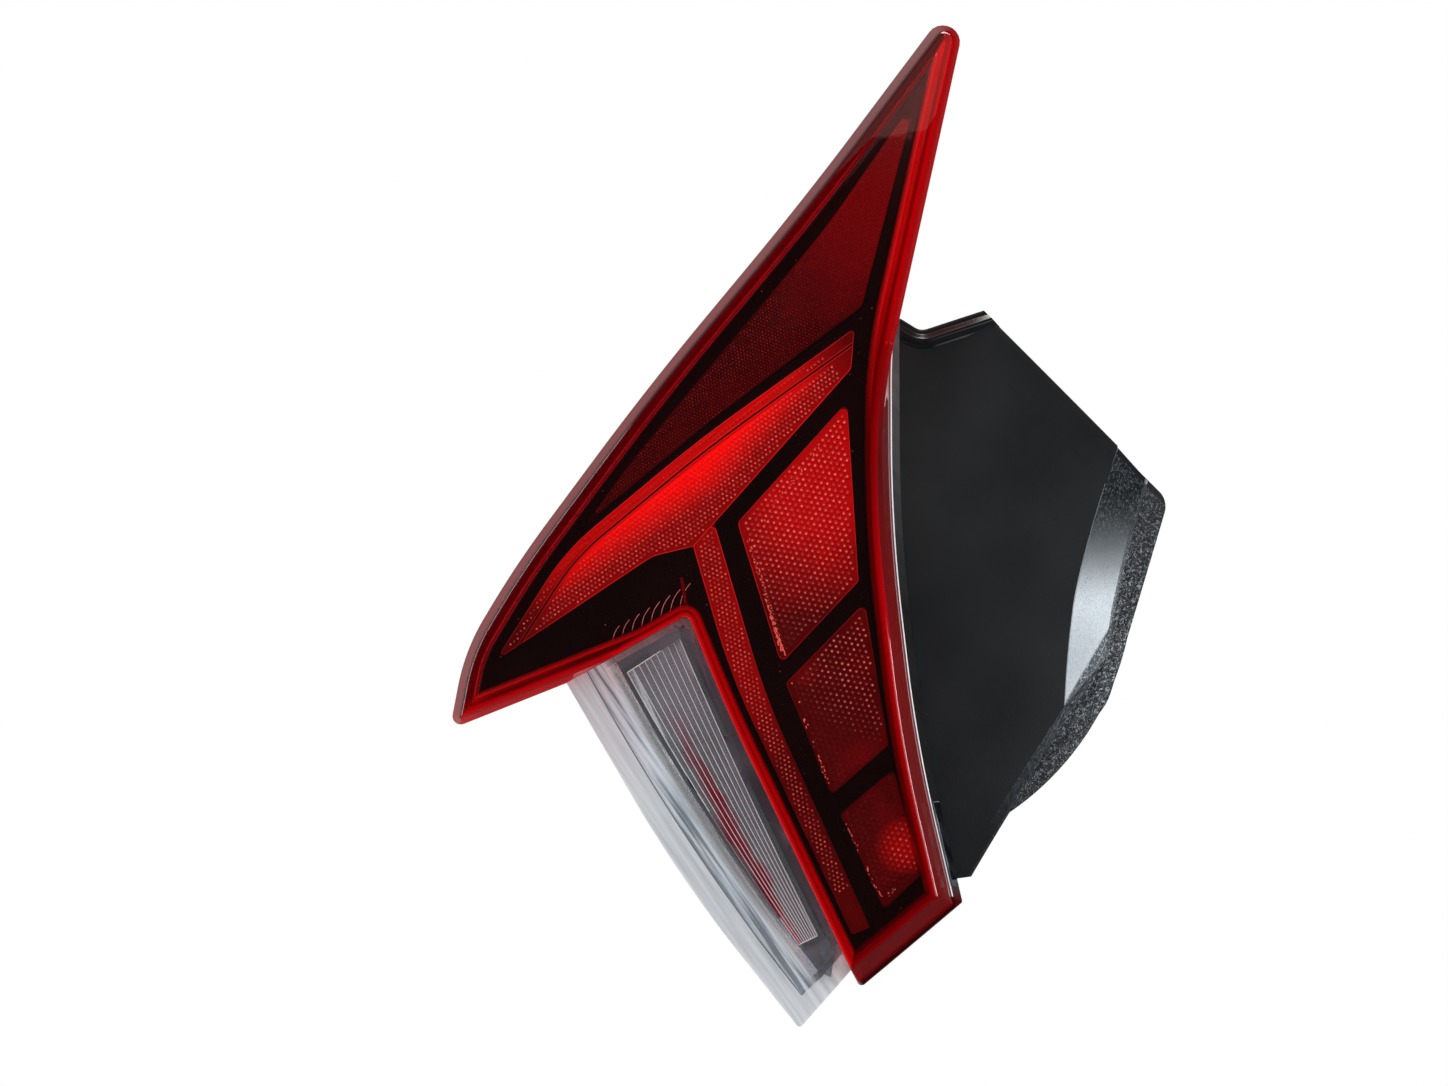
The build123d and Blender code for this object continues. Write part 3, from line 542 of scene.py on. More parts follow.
bezel_black = moulded("bezel_black", (0.002, 0.0015, 0.0015), (0.004, 0.003, 0.003), (0.12, 0.25), 500.0,
                      0.00002, (0.25, 0.2, 0.2))
bezel_black.node_tree.nodes["Principled BSDF"].inputs["Specular IOR Level"].default_value = 0.25
finish_node("inner_bezel", bezel_black)
rib_highlight_grey = moulded("rib_highlight_grey", (0.62, 0.6, 0.6), (0.8, 0.78, 0.78), (0.15, 0.3), 900.0, 0.00002)
ribs = []
for i in range(RIB_COUNT):
    x, z = RIB_START[0] + RIB_STEP[0] * i, RIB_START[1] + RIB_STEP[1] * i
    tall = RIB_TALL + RIB_TALLER * i
    ribs.append([(x + RIB_LEAN * tall * (k / 10) ** RIB_CURVE, z + tall * k / 10) for k in range(11)])
lay = lay_tree()
grow("bezel_ribs", "bezel", lay, rib_highlight_grey, ribs, Onto=nodes["inner_bezel"], Radius=RIB_RADIUS * MM)


# Lit lenses: red acrylic mouldings in the bezel's windows, each painted brightest in front of its bulb, a
# painted glow.
# Small pillow optics cover the tail and stop lenses in staggered rows, and fine prisms the reflex panel,
# all moulded with their lens; their crests are painted pale as painted highlights. Beads on the lens edges
# are painted bright as edge highlights, and short tubes along the stop lens edges are painted as glints.
# Glow spots (x, z, reach in mm) where the lenses are painted bright: a painted glow.
GLOW_PLANE = -0.078
WING_GLOWS = ((-50, 34, 78), (-85, 2, 50), (-10, 62, 45), (-25, -30, 60))
WING_DOTTED = (((-37.0, 15.9), (21.5, 81.7)), ((-130.3, -43.0), (-63.2, 1.7)))
WING_GROOVE = ((22.8, 98.5), (-42.6, 51.6), (-100.0, 4.0), (-130.3, -43.0))
GROOVE_INSET = 4.6
GROOVE_HALF = 1.9
GROOVE_SHADE = 3.2
TILE_GLOWS = ((8, 42, 66), (46, -124, 16))
TILE_DOTTED = ((2, 36, 74), (36, -34, 46), (46, -124, 15))
EDGE_RADIUS = 0.16
EDGE_DEPTH = 13.8
GLINT_EDGES = (((-22.8, 10.0), (-7.9, -40.0), 90), ((-5.0, -50.0), (11.3, -95.0), 26),
               ((15.6, -106.0), (33.6, -143.0), 26), ((-19.0, 14.0), (8.0, 50.0), 14),
               ((34.5, -144.0), (41.0, -140.0), 8), ((-14.5, -16.0), (-8.0, -39.5), 60))
GLINT_RADIUS = 0.25
SEAMS = (((-25.2, 96.3), (-15.6, 77.8)), ((-53.3, 64.5), (-47.3, 52.9)), ((8.0, 137.0), (24.0, 111.0)))
SEAM_RADIUS = 0.4
SKIN_WELD = 0.000002
DOME_SHARE = 0.46
DOME_FACING = -0.7
MARGIN_FOLD = 0.4
BEAD_FOLD = 0.6


def attribute(tree, name):
    """Value kept on the points of a mesh."""
    return add(tree, "ShaderNodeAttribute", {"attribute_name": name}).outputs["Fac"]


def nearness(tree, at, spots):
    """Value that is 1 at the middle of each spot (x, z, reach in mm) and falls to 0 at its reach."""
    balls = []
    for x, z, reach in spots:
        near = first_of(tree, "ShaderNodeMapping", {"vector_type": "TEXTURE"}, Vector=at,
                        Location=(x * MM, GLOW_PLANE, z * MM), Scale=(reach * MM,) * 3)
        ball = add(tree, "ShaderNodeTexGradient", {"gradient_type": "SPHERICAL"}, Vector=near)
        balls.append(ball.outputs["Fac"])
    return farthest(tree, "MAXIMUM", balls)


def lit_acrylic(name, glows, dotted, deep, bright, crest, dim=0.0, groove=(), tip=(0.84, 0.97)):
    """Red acrylic painted bright near each glow, a painted glow, with pillow crests painted pale as painted
    highlights where it is dotted.

    The dotted parts are spots (x, z, reach), or else the strips along the left of some lines."""
    material, tree, shader, at = new_finish(name)
    cloud = noise(tree, at, 45.0, 4.0)
    uneven = remap(tree, cloud, (0.3, 0.7), (-0.07, 0.07))
    glow = calc(tree, "ADD", nearness(tree, at, glows), uneven, use_clamp=True)
    face = ramp(tree, glow, (0.0, deep), (0.6, bright))
    if len(dotted[0]) == 2:
        inside = farthest(tree, "MINIMUM", [beyond(tree, at, *line) for line in dotted])
        shows = remap(tree, inside, (0.018, 0.006))
    else:
        shows = remap(tree, nearness(tree, at, dotted), (0.05, 0.5))
    if dim:
        face = blend(tree, calc(tree, "MULTIPLY", shows, dim), face, deep)
    # The groove and a band beside it are painted darker: painted shade in the groove.
    if groove:
        near = farthest(tree, "SMOOTH_MIN", [beyond(tree, at, *side) for side in zip(groove, groove[1:])])
        off = calc(tree, "ABSOLUTE", calc(tree, "SUBTRACT", near, GROOVE_INSET * MM))
        cut = remap(tree, off, (GROOVE_HALF * MM, 0.0))
        band = remap(tree, near, (GROOVE_INSET * MM, GROOVE_SHADE * MM), (0.0, 0.5))
        face = blend(tree, farthest(tree, "MAXIMUM", [cut, band]), face, tuple(0.6 * part for part in deep))
    # Pillow crests are painted pale, a painted highlight, with a random strength for each pillow.
    top = remap(tree, attribute(tree, "crest"), tip)
    highlight_strength = remap(tree, attribute(tree, "spark"), result=(0.2, 1.0), curve="SMOOTHSTEP")
    dot = calc(tree, "MULTIPLY", calc(tree, "MULTIPLY", top, shows), highlight_strength)
    feed(tree, shader, Base_Color=blend(tree, dot, face, crest),
         Roughness=remap(tree, cloud, (0.3, 0.7), (0.08, 0.2)))
    return material


def skin_of(tree, piece):
    """Mesh of another piece with its loose triangles joined."""
    loose = mesh_of(tree, piece)
    return first_of(tree, "GeometryNodeMergeByDistance", Geometry=loose, Distance=SKIN_WELD)


def pillow_tree():
    """Rows of low domes laid on the front of a lens, clear of its sharp edges."""
    tree, given = new_tree("pillow_optics", "Optics", Lens="Object", Centre="Vector", Turn="Float",
                           Width="Float", Height="Float", Pitch="Float", Bulge="Float", Margin="Float",
                           Sides="Int", Steps="Int", Smooth="Bool")
    pitch = given["Pitch"]
    row_pitch = calc(tree, "MULTIPLY", pitch, math.sqrt(3) / 2)
    columns = calc(tree, "FLOOR", calc(tree, "DIVIDE", given["Width"], pitch))
    rows = calc(tree, "FLOOR", calc(tree, "DIVIDE", given["Height"], row_pitch))
    gaps = calc(tree, "SUBTRACT", rows, 1.0)
    grid = first_of(tree, "GeometryNodeMeshGrid", Vertices_X=columns, Vertices_Y=rows,
                    Size_X=calc(tree, "MULTIPLY", calc(tree, "SUBTRACT", columns, 1.0), pitch),
                    Size_Y=calc(tree, "MULTIPLY", gaps, row_pitch))
    place = first_of(tree, "GeometryNodeInputPosition")
    from_middle = calc(tree, "DIVIDE", part_of(tree, place, "Y"), row_pitch)
    row = calc(tree, "ROUND", calc(tree, "ADD", from_middle, calc(tree, "MULTIPLY", gaps, 0.5)))
    odd = calc(tree, "MULTIPLY", calc(tree, "MODULO", row, 2.0), calc(tree, "MULTIPLY", pitch, 0.5))
    staggered = first_of(tree, "GeometryNodeSetPosition", Geometry=grid,
                         Offset=first_of(tree, "ShaderNodeCombineXYZ", X=odd))
    spin = first_of(tree, "ShaderNodeCombineXYZ", X=math.radians(90), Y=given["Turn"])
    upright = first_of(tree, "GeometryNodeTransform", Geometry=staggered, Translation=given["Centre"],
                       Rotation=spin)
    skin = skin_of(tree, given["Lens"])
    start = first_of(tree, "ShaderNodeCombineXYZ", X=part_of(tree, place, "X"), Y=RAY_START,
                     Z=part_of(tree, place, "Z"))
    ray = add(tree, "GeometryNodeRaycast", Target_Geometry=skin, Source_Position=start,
              Ray_Direction=RAY_DIRECTION, Ray_Length=RAY_LENGTH).outputs
    fold = add(tree, "GeometryNodeInputMeshEdgeAngle").outputs["Unsigned Angle"]
    sharp = first_of(tree, "GeometryNodeSeparateGeometry", {"domain": "EDGE"}, Geometry=skin,
                     Selection=calc(tree, "GREATER_THAN", fold, MARGIN_FOLD))
    rim = add(tree, "GeometryNodeProximity", {"target_element": "EDGES"}, Geometry=sharp,
              Sample_Position=ray["Hit Position"])
    clear = calc(tree, "GREATER_THAN", rim.outputs["Distance"], given["Margin"])
    facing = calc(tree, "LESS_THAN", part_of(tree, ray["Hit Normal"], "Y"), DOME_FACING)
    keep = calc(tree, "MULTIPLY", calc(tree, "MULTIPLY", ray["Is Hit"], clear), facing)
    left = first_of(tree, "GeometryNodeDeleteGeometry", {"domain": "POINT"}, Geometry=upright,
                    Selection=calc(tree, "SUBTRACT", 1.0, keep))
    laid = first_of(tree, "GeometryNodeSetPosition", Geometry=left, Position=ray["Hit Position"])
    ball = first_of(tree, "GeometryNodeMeshUVSphere", Segments=given["Sides"], Rings=given["Steps"],
                    Radius=1.0)
    height = part_of(tree, place, "Z")
    dome = first_of(tree, "GeometryNodeDeleteGeometry", {"domain": "POINT"}, Geometry=ball,
                    Selection=calc(tree, "LESS_THAN", height, -0.01))
    crested = first_of(tree, "GeometryNodeStoreNamedAttribute", {"data_type": "FLOAT", "domain": "POINT"},
                       Geometry=dome, Name="crest", Value=height)
    turned = first_of(tree, "FunctionNodeAlignRotationToVector", {"axis": "Z"}, Vector=ray["Hit Normal"])
    wide = calc(tree, "MULTIPLY", pitch, DOME_SHARE)
    bulk = first_of(tree, "ShaderNodeCombineXYZ", X=wide, Y=wide, Z=given["Bulge"])
    domes = first_of(tree, "GeometryNodeInstanceOnPoints", Points=laid, Instance=crested, Rotation=turned,
                     Scale=bulk)
    chance = add(tree, "FunctionNodeRandomValue", {"data_type": "FLOAT"}, Seed=4)
    marked = first_of(tree, "GeometryNodeStoreNamedAttribute", {"data_type": "FLOAT", "domain": "INSTANCE"},
                      Geometry=domes, Name="spark", Value=chance.outputs[1])
    solid = first_of(tree, "GeometryNodeRealizeInstances", Geometry=marked)
    shaded = first_of(tree, "GeometryNodeSetShadeSmooth", Geometry=solid, Shade_Smooth=given["Smooth"])
    end_tree(tree, given, shaded)
    return tree


def edge_tree():
    """Thin round bead along the sharp edges of a lens, between two depths below the outer lens face."""
    tree, given = new_tree("edge_beads", "Beads", Lens="Object", From="Float", Depth="Float",
                           Radius="Float", Inside="Bool")
    place = first_of(tree, "GeometryNodeInputPosition")
    away = calc(tree, "DISTANCE", place, DOME_CENTRE, kind="VectorMath")
    front = calc(tree, "GREATER_THAN", calc(tree, "ADD", away, given["Depth"]), DOME_RADIUS)
    back = calc(tree, "LESS_THAN", calc(tree, "ADD", away, given["From"]), DOME_RADIUS + 0.0001)
    fold = add(tree, "GeometryNodeInputMeshEdgeAngle").outputs
    angle = add(tree, "GeometryNodeSwitch", {"input_type": "FLOAT"}, Switch=given["Inside"])
    plug(tree, angle.inputs["False"], fold["Unsigned Angle"])
    plug(tree, angle.inputs["True"], calc(tree, "MULTIPLY", fold["Signed Angle"], -1.0))
    sharp = calc(tree, "GREATER_THAN", angle.outputs["Output"], BEAD_FOLD)
    chosen = calc(tree, "MULTIPLY", calc(tree, "MULTIPLY", front, back), sharp)
    curve = first_of(tree, "GeometryNodeMeshToCurve", Mesh=skin_of(tree, given["Lens"]), Selection=chosen)
    end_in_tube(tree, given, curve, 6)
    return tree


wing_red = lit_acrylic("wing_red", WING_GLOWS, WING_DOTTED, (0.10, 0.001, 0.002), (0.95, 0.008, 0.006),
                       (1.0, 0.62, 0.5), 0.78, WING_GROOVE)
finish_node("tail_lens", wing_red)
tile_red = lit_acrylic("tile_red", TILE_GLOWS, TILE_DOTTED, (0.085, 0.0006, 0.002), (0.58, 0.005, 0.008),
                       (1.0, 0.75, 0.62), 0.2)
finish_node("stop_lens", tile_red)
reflex_red = lit_acrylic("reflex_red", ((38, 165, 75),), ((0, 110, 260),), (0.036, 0.0004, 0.0015),
                         (0.12, 0.001, 0.004), (0.24, 0.008, 0.016), tip=(0.3, 0.75))
finish_node("reflex_panel", reflex_red)
pillows = pillow_tree()
grow("wing_pillows", "lit_red", pillows, wing_red, Lens=nodes["tail_lens"], Centre=(-0.05, 0, -0.03),
     Turn=math.radians(-38), Width=0.24, Height=0.26, Pitch=2.0 * MM, Bulge=0.35 * MM, Margin=1.3 * MM,
     Sides=10, Steps=6, Smooth=True)
grow("stop_pillows", "lit_red", pillows, tile_red, Lens=nodes["stop_lens"], Centre=(0.013, 0, -0.041),
     Turn=math.radians(10), Width=0.13, Height=0.27, Pitch=2.6 * MM, Bulge=0.45 * MM, Margin=1.5 * MM,
     Sides=10, Steps=6, Smooth=True)
grow("reflex_prisms", "reflex_red", pillows, reflex_red, Lens=nodes["reflex_panel"], Centre=(-0.02, 0, 0.106),
     Turn=math.radians(-38), Width=0.24, Height=0.16, Pitch=1.5 * MM, Bulge=0.5 * MM, Margin=0.8 * MM,
     Sides=4, Steps=2, Smooth=False)
# Beads along the lens edges are painted bright red, a painted edge highlight.
edge_highlight_red = lit_acrylic("edge_highlight_red", ((-50, 34, 120), (4, 35, 90)), ((-50, 34, 10),), (0.06, 0.002, 0.002),
                       (0.8, 0.05, 0.045), (1.0, 0.5, 0.4))
beads = edge_tree()
for lens in ("tail_lens", "stop_lens"):
    grow(lens + "_edge", "lit_red", beads, edge_highlight_red, Lens=nodes[lens], Depth=EDGE_DEPTH * MM,
         Radius=EDGE_RADIUS * MM)
# Short tubes along the edges of the stop lens are painted pale orange as painted glints.
chance = random.Random(5)
glints = []
for (x0, z0), (x1, z1), count in GLINT_EDGES:
    for i in range(count):
        share = chance.random() ** 0.7
        x = x0 + (x1 - x0) * share + chance.uniform(-0.5, 1.3)
        z = z0 + (z1 - z0) * share
        long = chance.uniform(0.3, 1.6)
        glints.append([(x, z), (x + long * 0.35, z - long)])
glint_red = moulded("glint_red", (0.9, 0.42, 0.3), (1.0, 0.72, 0.55), (0.1, 0.2), 900.0, 0.00002)
grow("tile_glints", "lit_red", lay, glint_red, glints, Onto=nodes["stop_lens"], Radius=GLINT_RADIUS * MM)
seams = [[Vector(start).lerp(Vector(end), k / 6) for k in range(7)] for start, end in SEAMS]
grow("reflex_seams", "reflex_red", lay, reflex_red, seams, Onto=nodes["reflex_panel"],
     Radius=SEAM_RADIUS * MM)


# Reversing optic: a fluted plate of grey-clear acrylic behind the clear window, in front of its bowl.
# Beads on the crests of its flutes are painted white as painted highlights, and a satin shelf and rail of the
# bowl frame it.
# Its lower part carries a red streak, a painted reflection of the red lens.
ACRYLIC_IOR = 1.49
OPTIC_GREY = (0.62, 0.65, 0.68)
OPTIC_RED_REFLECTION = ((-52.0, -75.0), (-8.0, -160.0))
FLUTE_DEPTH = 16.5
FLUTE_RADIUS = 0.24
OPTIC_SHELF = ((-52.0, -28.9), (-50.8, -33.2), (-75.2, -49.0), (-83.0, -46.5))
SHELF_DEPTHS = (12.6, 13.4)
OPTIC_RAIL = ((-53.5, -27.5), (-46.5, -29.5), (15.5, -162.5), (13.5, -180.0), (0.0, -173.0), (-5.0, -158.0))
RAIL_DEPTHS = (16.8, 17.6)

optic_acrylic = see_through("optic_acrylic", OPTIC_GREY, (0.95, 0.97, 0.98), ACRYLIC_IOR, (0.14, 0.22))
tree, shader, at = opened(optic_acrylic)
# A red streak painted on the lower part of the optic is a painted reflection of the red lens.
side = calc(tree, "MULTIPLY_ADD", noise(tree, at, 70.0, 3.0), 0.012, beyond(tree, at, *OPTIC_RED_REFLECTION))
red_reflection = ramp(tree, remap(tree, side, (0.0, 0.015)), (0.2, 0.0), (0.42, 1.0), (0.58, 1.0), (0.8, 0.0))
reflection_share = calc(tree, "MULTIPLY", red_reflection, remap(tree, part_of(tree, at, "Z"), (-0.06, -0.10)))
feed(tree, shader, Transmission_Weight=0.86,
     Base_Color=blend(tree, reflection_share, OPTIC_GREY, (0.75, 0.03, 0.09)))
finish_node("reverse_optic", optic_acrylic)
# The white beads on the flute crests are painted highlights.
highlight_white = moulded("highlight_white", (0.85, 0.86, 0.88), (0.95, 0.95, 0.96), (0.1, 0.2), 900.0, 0.00002)
grow("flute_lines", "clear_lens", beads, highlight_white, Lens=nodes["reverse_optic"], Depth=FLUTE_DEPTH * MM,
     Radius=FLUTE_RADIUS * MM)
for name, corners, depths in (("optic_shelf", OPTIC_SHELF, SHELF_DEPTHS),
                              ("optic_rail", OPTIC_RAIL, RAIL_DEPTHS)):
    count = len(corners)
    sides = [(k, k + count, (k + 1) % count + count, (k + 1) % count) for k in range(count)]
    mesh = bpy.data.meshes.new(name)
    mesh.from_pydata([lens_point(x, z, depth) for depth in depths for x, z in corners], [],
                     [tuple(range(count)), tuple(range(2 * count - 1, count - 1, -1)), *sides])
    mesh.materials.append(satin)
    settle(name, mesh)


# Outer lens: clear and red acrylic shot in one mould, polished outside and inside, welded to the housing.
# Its rim turns down in a leaning lip, deep red where the light goes a long way through it;
# each side of the rim and the fin is painted brighter or darker, a painted glow.
# The clear part shows as the reversing window and its frosted foot, with a white line painted along the edge
# beside the plate as a painted highlight. Its leaning wall is painted in pale streaks as painted highlights,
# and its foot on the right, under the red rim, is painted darker towards the bottom as painted shade.
LENS_OUTLINE = [
    (80.4, 261.9, 8.3), (40.0, 83.8, 230.0), (40.0, 12.9, 645.0), (50.7, -77.4, 727.0),
    (67.9, -149.6, 2.6), (26.2, -185.3, 2.0), (-31.4, -64.5, 800.0), (-48.2, -23.2, 2.6),
    (-100.6, -52.9, 0.0), (-150.9, -73.1, 3.6), (-144.1, -38.7, 90.0), (-121.7, -1.7, 448.0),
    (-65.4, 74.0, 1480.0), (1.3, 154.8, 1480.0)]
SIDES = len(LENS_OUTLINE)
FOOT_INSET = (5.0, 0.6, 0.6, 0.6, 0.6, 0.0, 0.0, 0.0, 5.0, 5.0, 5.0, 5.0, 5.0, 5.0)
FOOT_LEAN = (0.1, 0.28, 0.28, 0.28, 0.4, 0.0, 0.0, 0.0, 0.0, 0.0, 0.0, 0.0, 0.0, 0.0)
LIP_LEAN = (2.0, 2.0, 2.0, 2.0, 2.4, 0.0, 0.0, 0.0, 2.6, 3.4, 3.4, 3.4, 3.4, 3.4)
LIP_ROUND = (2.0, 1.6, 1.6, 1.6, 1.6, 1.0, 1.0, 1.0, 2.0, 1.8, 1.8, 1.8, 1.8, 1.8)
# Brightness of each side of the rim, outside and inside, is a painted glow; so is the fin's.
RIM_GLOW = (0.75, 0.36, 0.45, 0.4, 0.38, 0.9, 0.9, 0.8, 0.8, 0.45, 0.4, 0.36, 0.34, 0.28)
RIM_INNER = (0.45, 0.5, 0.68, 0.58, 0.38, 0.9, 0.9, 0.9, 0.6, 0.1, 0.06, 0.06, 0.06, 0.06)
LENS_WALL = 2.8
SHOULDER_INSET = 4.6
LIP_DEPTH = 9.0
LIP_ROWS = 8
FOOT_TOP = 24.8
FOOT_DEPTH = 28.0
CAP_PITCH = 6.0
ARC_STEP = 2.5
SIDE_STEP = 6.0
RIM_FADE = 2.6
LENS_SHARP = 32
LENS_WELD = 0.00001
FIN_CORNERS = ((-48.9, -23.3), (-47.5, -23.1), (-50.0, -7.2), (-51.4, -7.4))
FIN_DEPTHS = (3.0, 11.8)
FIN_FACES = ((0, 1, 2, 3), (7, 6, 5, 4), (0, 4, 5, 1), (1, 5, 6, 2), (2, 6, 7, 3), (3, 7, 4, 0))
FIN_GLOW = 0.3
RED_TINT = (1.0, 0.5, 0.5)
CLEAR_TINT = (0.97, 0.985, 1.0)
CLEAR_FLANK = ((-103.0, -52.0), (0.0, -201.0))
DIVIDER = (LENS_OUTLINE[6][:2], LENS_OUTLINE[5][:2])
INBOARD = (0.018, 0.03)
FOOT_EDGE_DEPTHS = (24.0, 25.4)
FOOT_EDGE_RADIUS = 0.4
FOOT_GLINT_SHIFT = 0.55
FOOT_GLINT_ENDS = (-146, 99)
FOOT_GLINT_RADIUS = 0.32


def around(items):
    """Each item of a closed row with the one before and the one after."""
    return list(zip(items[-1:] + items[:-1], items, items[1:] + items[:1]))


def turn_at(before, corner, after):
    """Heading of the side that reaches a corner, and the turn there."""
    heading = math.atan2(corner[1] - before[1], corner[0] - before[0])
    leaving = math.atan2(after[1] - corner[1], after[0] - corner[0])
    return heading, (leaving - heading + math.pi) % (2 * math.pi) - math.pi


ARC_PIECES, SIDE_PIECES = [], []
for before, corner, after in around(LENS_OUTLINE):
    turn = abs(turn_at(before, corner, after)[1])
    ARC_PIECES.append(max(8, round(corner[2] * turn / ARC_STEP)) if corner[2] else 1)
    SIDE_PIECES.append(max(2, round(math.dist(corner[:2], after[:2]) / SIDE_STEP)))


def moved_corner(before, corner, after, step_in, step_out):
    """Corner after its two sides have been moved inwards by a step each."""
    length_in, length_out = math.dist(before[:2], corner[:2]), math.dist(corner[:2], after[:2])
    ax, az = (corner[0] - before[0]) / length_in, (corner[1] - before[1]) / length_in
    bx, bz = (after[0] - corner[0]) / length_out, (after[1] - corner[1]) / length_out
    turn = ax * bz - az * bx
    along = ((bz * step_out - az * step_in) * bz - (ax * step_in - bx * step_out) * bx) / turn
    radius = corner[2] and max(corner[2] + math.copysign((step_in + step_out) / 2, turn), 0.4)
    return (corner[0] + az * step_in + ax * along, corner[1] - ax * step_in + az * along, radius)


def lens_row(steps, depths):
    """Closed row of (x, z, depth) along the outline, each side moved in by its step, to its own depth."""
    corners = [moved_corner(*three, steps[i - 1], steps[i]) for i, three in enumerate(around(LENS_OUTLINE))]
    arcs = []
    for i, (before, corner, after) in enumerate(around(corners)):
        heading, turn = turn_at(before, corner, after)
        tangent = math.tan(abs(turn) / 2)
        room = 0.48 * min(math.dist(before[:2], corner[:2]), math.dist(corner[:2], after[:2]))
        radius = min(corner[2], room / tangent)
        x = corner[0] - radius * tangent * math.cos(heading)
        z = corner[1] - radius * tangent * math.sin(heading)
        arc = []
        for k in range(ARC_PIECES[i] + 1):
            swing = turn * k / ARC_PIECES[i]
            chord = 2 * radius * math.sin(abs(swing) / 2)
            depth = depths[i - 1] + (depths[i] - depths[i - 1]) * k / ARC_PIECES[i]
            aim = heading + swing / 2
            arc.append((x + chord * math.cos(aim), z + chord * math.sin(aim), depth))
        arcs.append(arc)
    row = []
    for arc, following, depth, pieces in zip(arcs, arcs[1:] + arcs[:1], depths, SIDE_PIECES):
        (x0, z0, _), (x1, z1, _) = arc[-1], following[0]
        row += arc
        row += [(x0 + (x1 - x0) * k / pieces, z0 + (z1 - z0) * k / pieces, depth) for k in range(1, pieces)]
    return row


def filled(row):
    """Triangles inside a closed row, with even points between, as extra points and corners."""
    ring = [(x, z) for x, z, _ in row]
    rise = CAP_PITCH * 0.87
    lowest = min(z for x, z in ring)
    extra = []
    for j in range(1, int((max(z for x, z in ring) - lowest) / rise)):
        z, shift = lowest + j * rise, j % 2 * 0.5
        walls = sorted(x0 + (x1 - x0) * (z - z0) / (z1 - z0)
                       for (x0, z0), (x1, z1) in zip(ring, ring[1:] + ring[:1]) if (z0 > z) != (z1 > z))
        for left, right in zip(walls[::2], walls[1::2]):
            first, last = math.ceil(left / CAP_PITCH - shift), math.floor(right / CAP_PITCH - shift)
            spots = [((k + shift) * CAP_PITCH, z) for k in range(first, last + 1)]
            extra += [spot for spot in spots
                      if min(math.dist(spot, point) for point in ring) > 0.55 * CAP_PITCH]
    sides = [(i, (i + 1) % len(ring)) for i in range(len(ring))]
    made = delaunay_2d_cdt([Vector(point) for point in ring + extra], sides, [], 1, 1e-5)
    return extra, [[made[3][corner][0] for corner in face] for face in made[2]]


def lens_skin(rows, cap_depth):
    """Points and faces of one side of the lens: rows from its foot to the edge of its face, and the face."""
    width, base = len(rows[0]), (len(rows) - 1) * len(rows[0])
    faces = [(j + i, j + (i + 1) % width, j + width + (i + 1) % width, j + width + i)
             for j in range(0, base, width) for i in range(width)]
    extra, triangles = filled(rows[-1])
    faces += [tuple(base + corner for corner in triangle) for triangle in triangles]
    points = [lens_point(*point) for row in rows for point in row]
    return points + [lens_point(x, z, cap_depth) for x, z in extra], faces


def moved(faces, shift):
    """Faces whose corners are counted on from other points."""
    return [tuple(shift + corner for corner in face) for face in faces]


upper = [lean * (FOOT_DEPTH - LIP_DEPTH) for lean in FOOT_LEAN]
roof = [LENS_WALL if inset > LENS_WALL else LIP_DEPTH for inset in FOOT_INSET]
foot = [inset + lean * (FOOT_DEPTH - FOOT_TOP) for inset, lean in zip(FOOT_INSET, FOOT_LEAN)]
outer_rows = [
    lens_row(foot, [FOOT_TOP] * SIDES),
    lens_row([inset + lean for inset, lean in zip(FOOT_INSET, upper)], roof),
    lens_row([min(inset, SHOULDER_INSET) + lean for inset, lean in zip(FOOT_INSET, upper)], roof),
    lens_row([min(inset, LENS_WALL) + lean for inset, lean in zip(FOOT_INSET, upper)], [LIP_DEPTH] * SIDES),
    lens_row(upper, [LIP_DEPTH] * SIDES)]
for k in range(LIP_ROWS):
    steps, depths = [], []
    for lean, top, radius in zip(upper, LIP_LEAN, LIP_ROUND):
        slope = math.atan2(top, LIP_DEPTH)
        swing = slope + (math.pi / 2 - slope) * k / (LIP_ROWS - 1)
        steps.append(lean + top + radius * (math.cos(slope) - math.cos(swing)))
        depths.append(radius * (1 - math.sin(swing)))
    outer_rows.append(lens_row(steps, depths))
outer_rows.append(lens_row([step + RIM_FADE for step in steps], [0.0] * SIDES))
inner_rows = []
for depth, more in ((FOOT_TOP, 0.0), (LIP_DEPTH, 0.0), (LENS_WALL + 0.8, 0.0), (LENS_WALL + 0.25, 0.2),
                    (LENS_WALL, 0.8), (LENS_WALL, 0.8 + RIM_FADE)):
    steps = [inset + LENS_WALL + lean * (FOOT_DEPTH - depth) + more
             for inset, lean in zip(FOOT_INSET, FOOT_LEAN)]
    inner_rows.append(lens_row(steps, [depth] * SIDES))
outer_points, outer_faces = lens_skin(outer_rows, 0.0)
inner_points, inner_faces = lens_skin(inner_rows, LENS_WALL)
fin_points = [lens_point(x, z, depth) for depth in FIN_DEPTHS for x, z in FIN_CORNERS]
inside, width = len(outer_points), len(outer_rows[0])
red_mesh = bpy.data.meshes.new("red_outer_lens")
red_mesh.from_pydata(
    outer_points + inner_points + fin_points, [],
    outer_faces + moved(inner_faces, inside)
    + [(i, (i + 1) % width, inside + (i + 1) % width, inside + i) for i in range(width)]
    + moved(FIN_FACES, inside + len(inner_points)))


def mark_lens(name, row, rims, fin):
    """Keeps a value on the points of the lens: a row's values on its rim rows, and 0 on its faces."""
    values = []
    for points, rim in zip((outer_points, inner_points), rims):
        values += row * rim + [0.0] * (len(points) - rim * width)
    values += [fin] * len(fin_points)
    red_mesh.attributes.new(name, "FLOAT", "POINT").data.foreach_set("value", values)


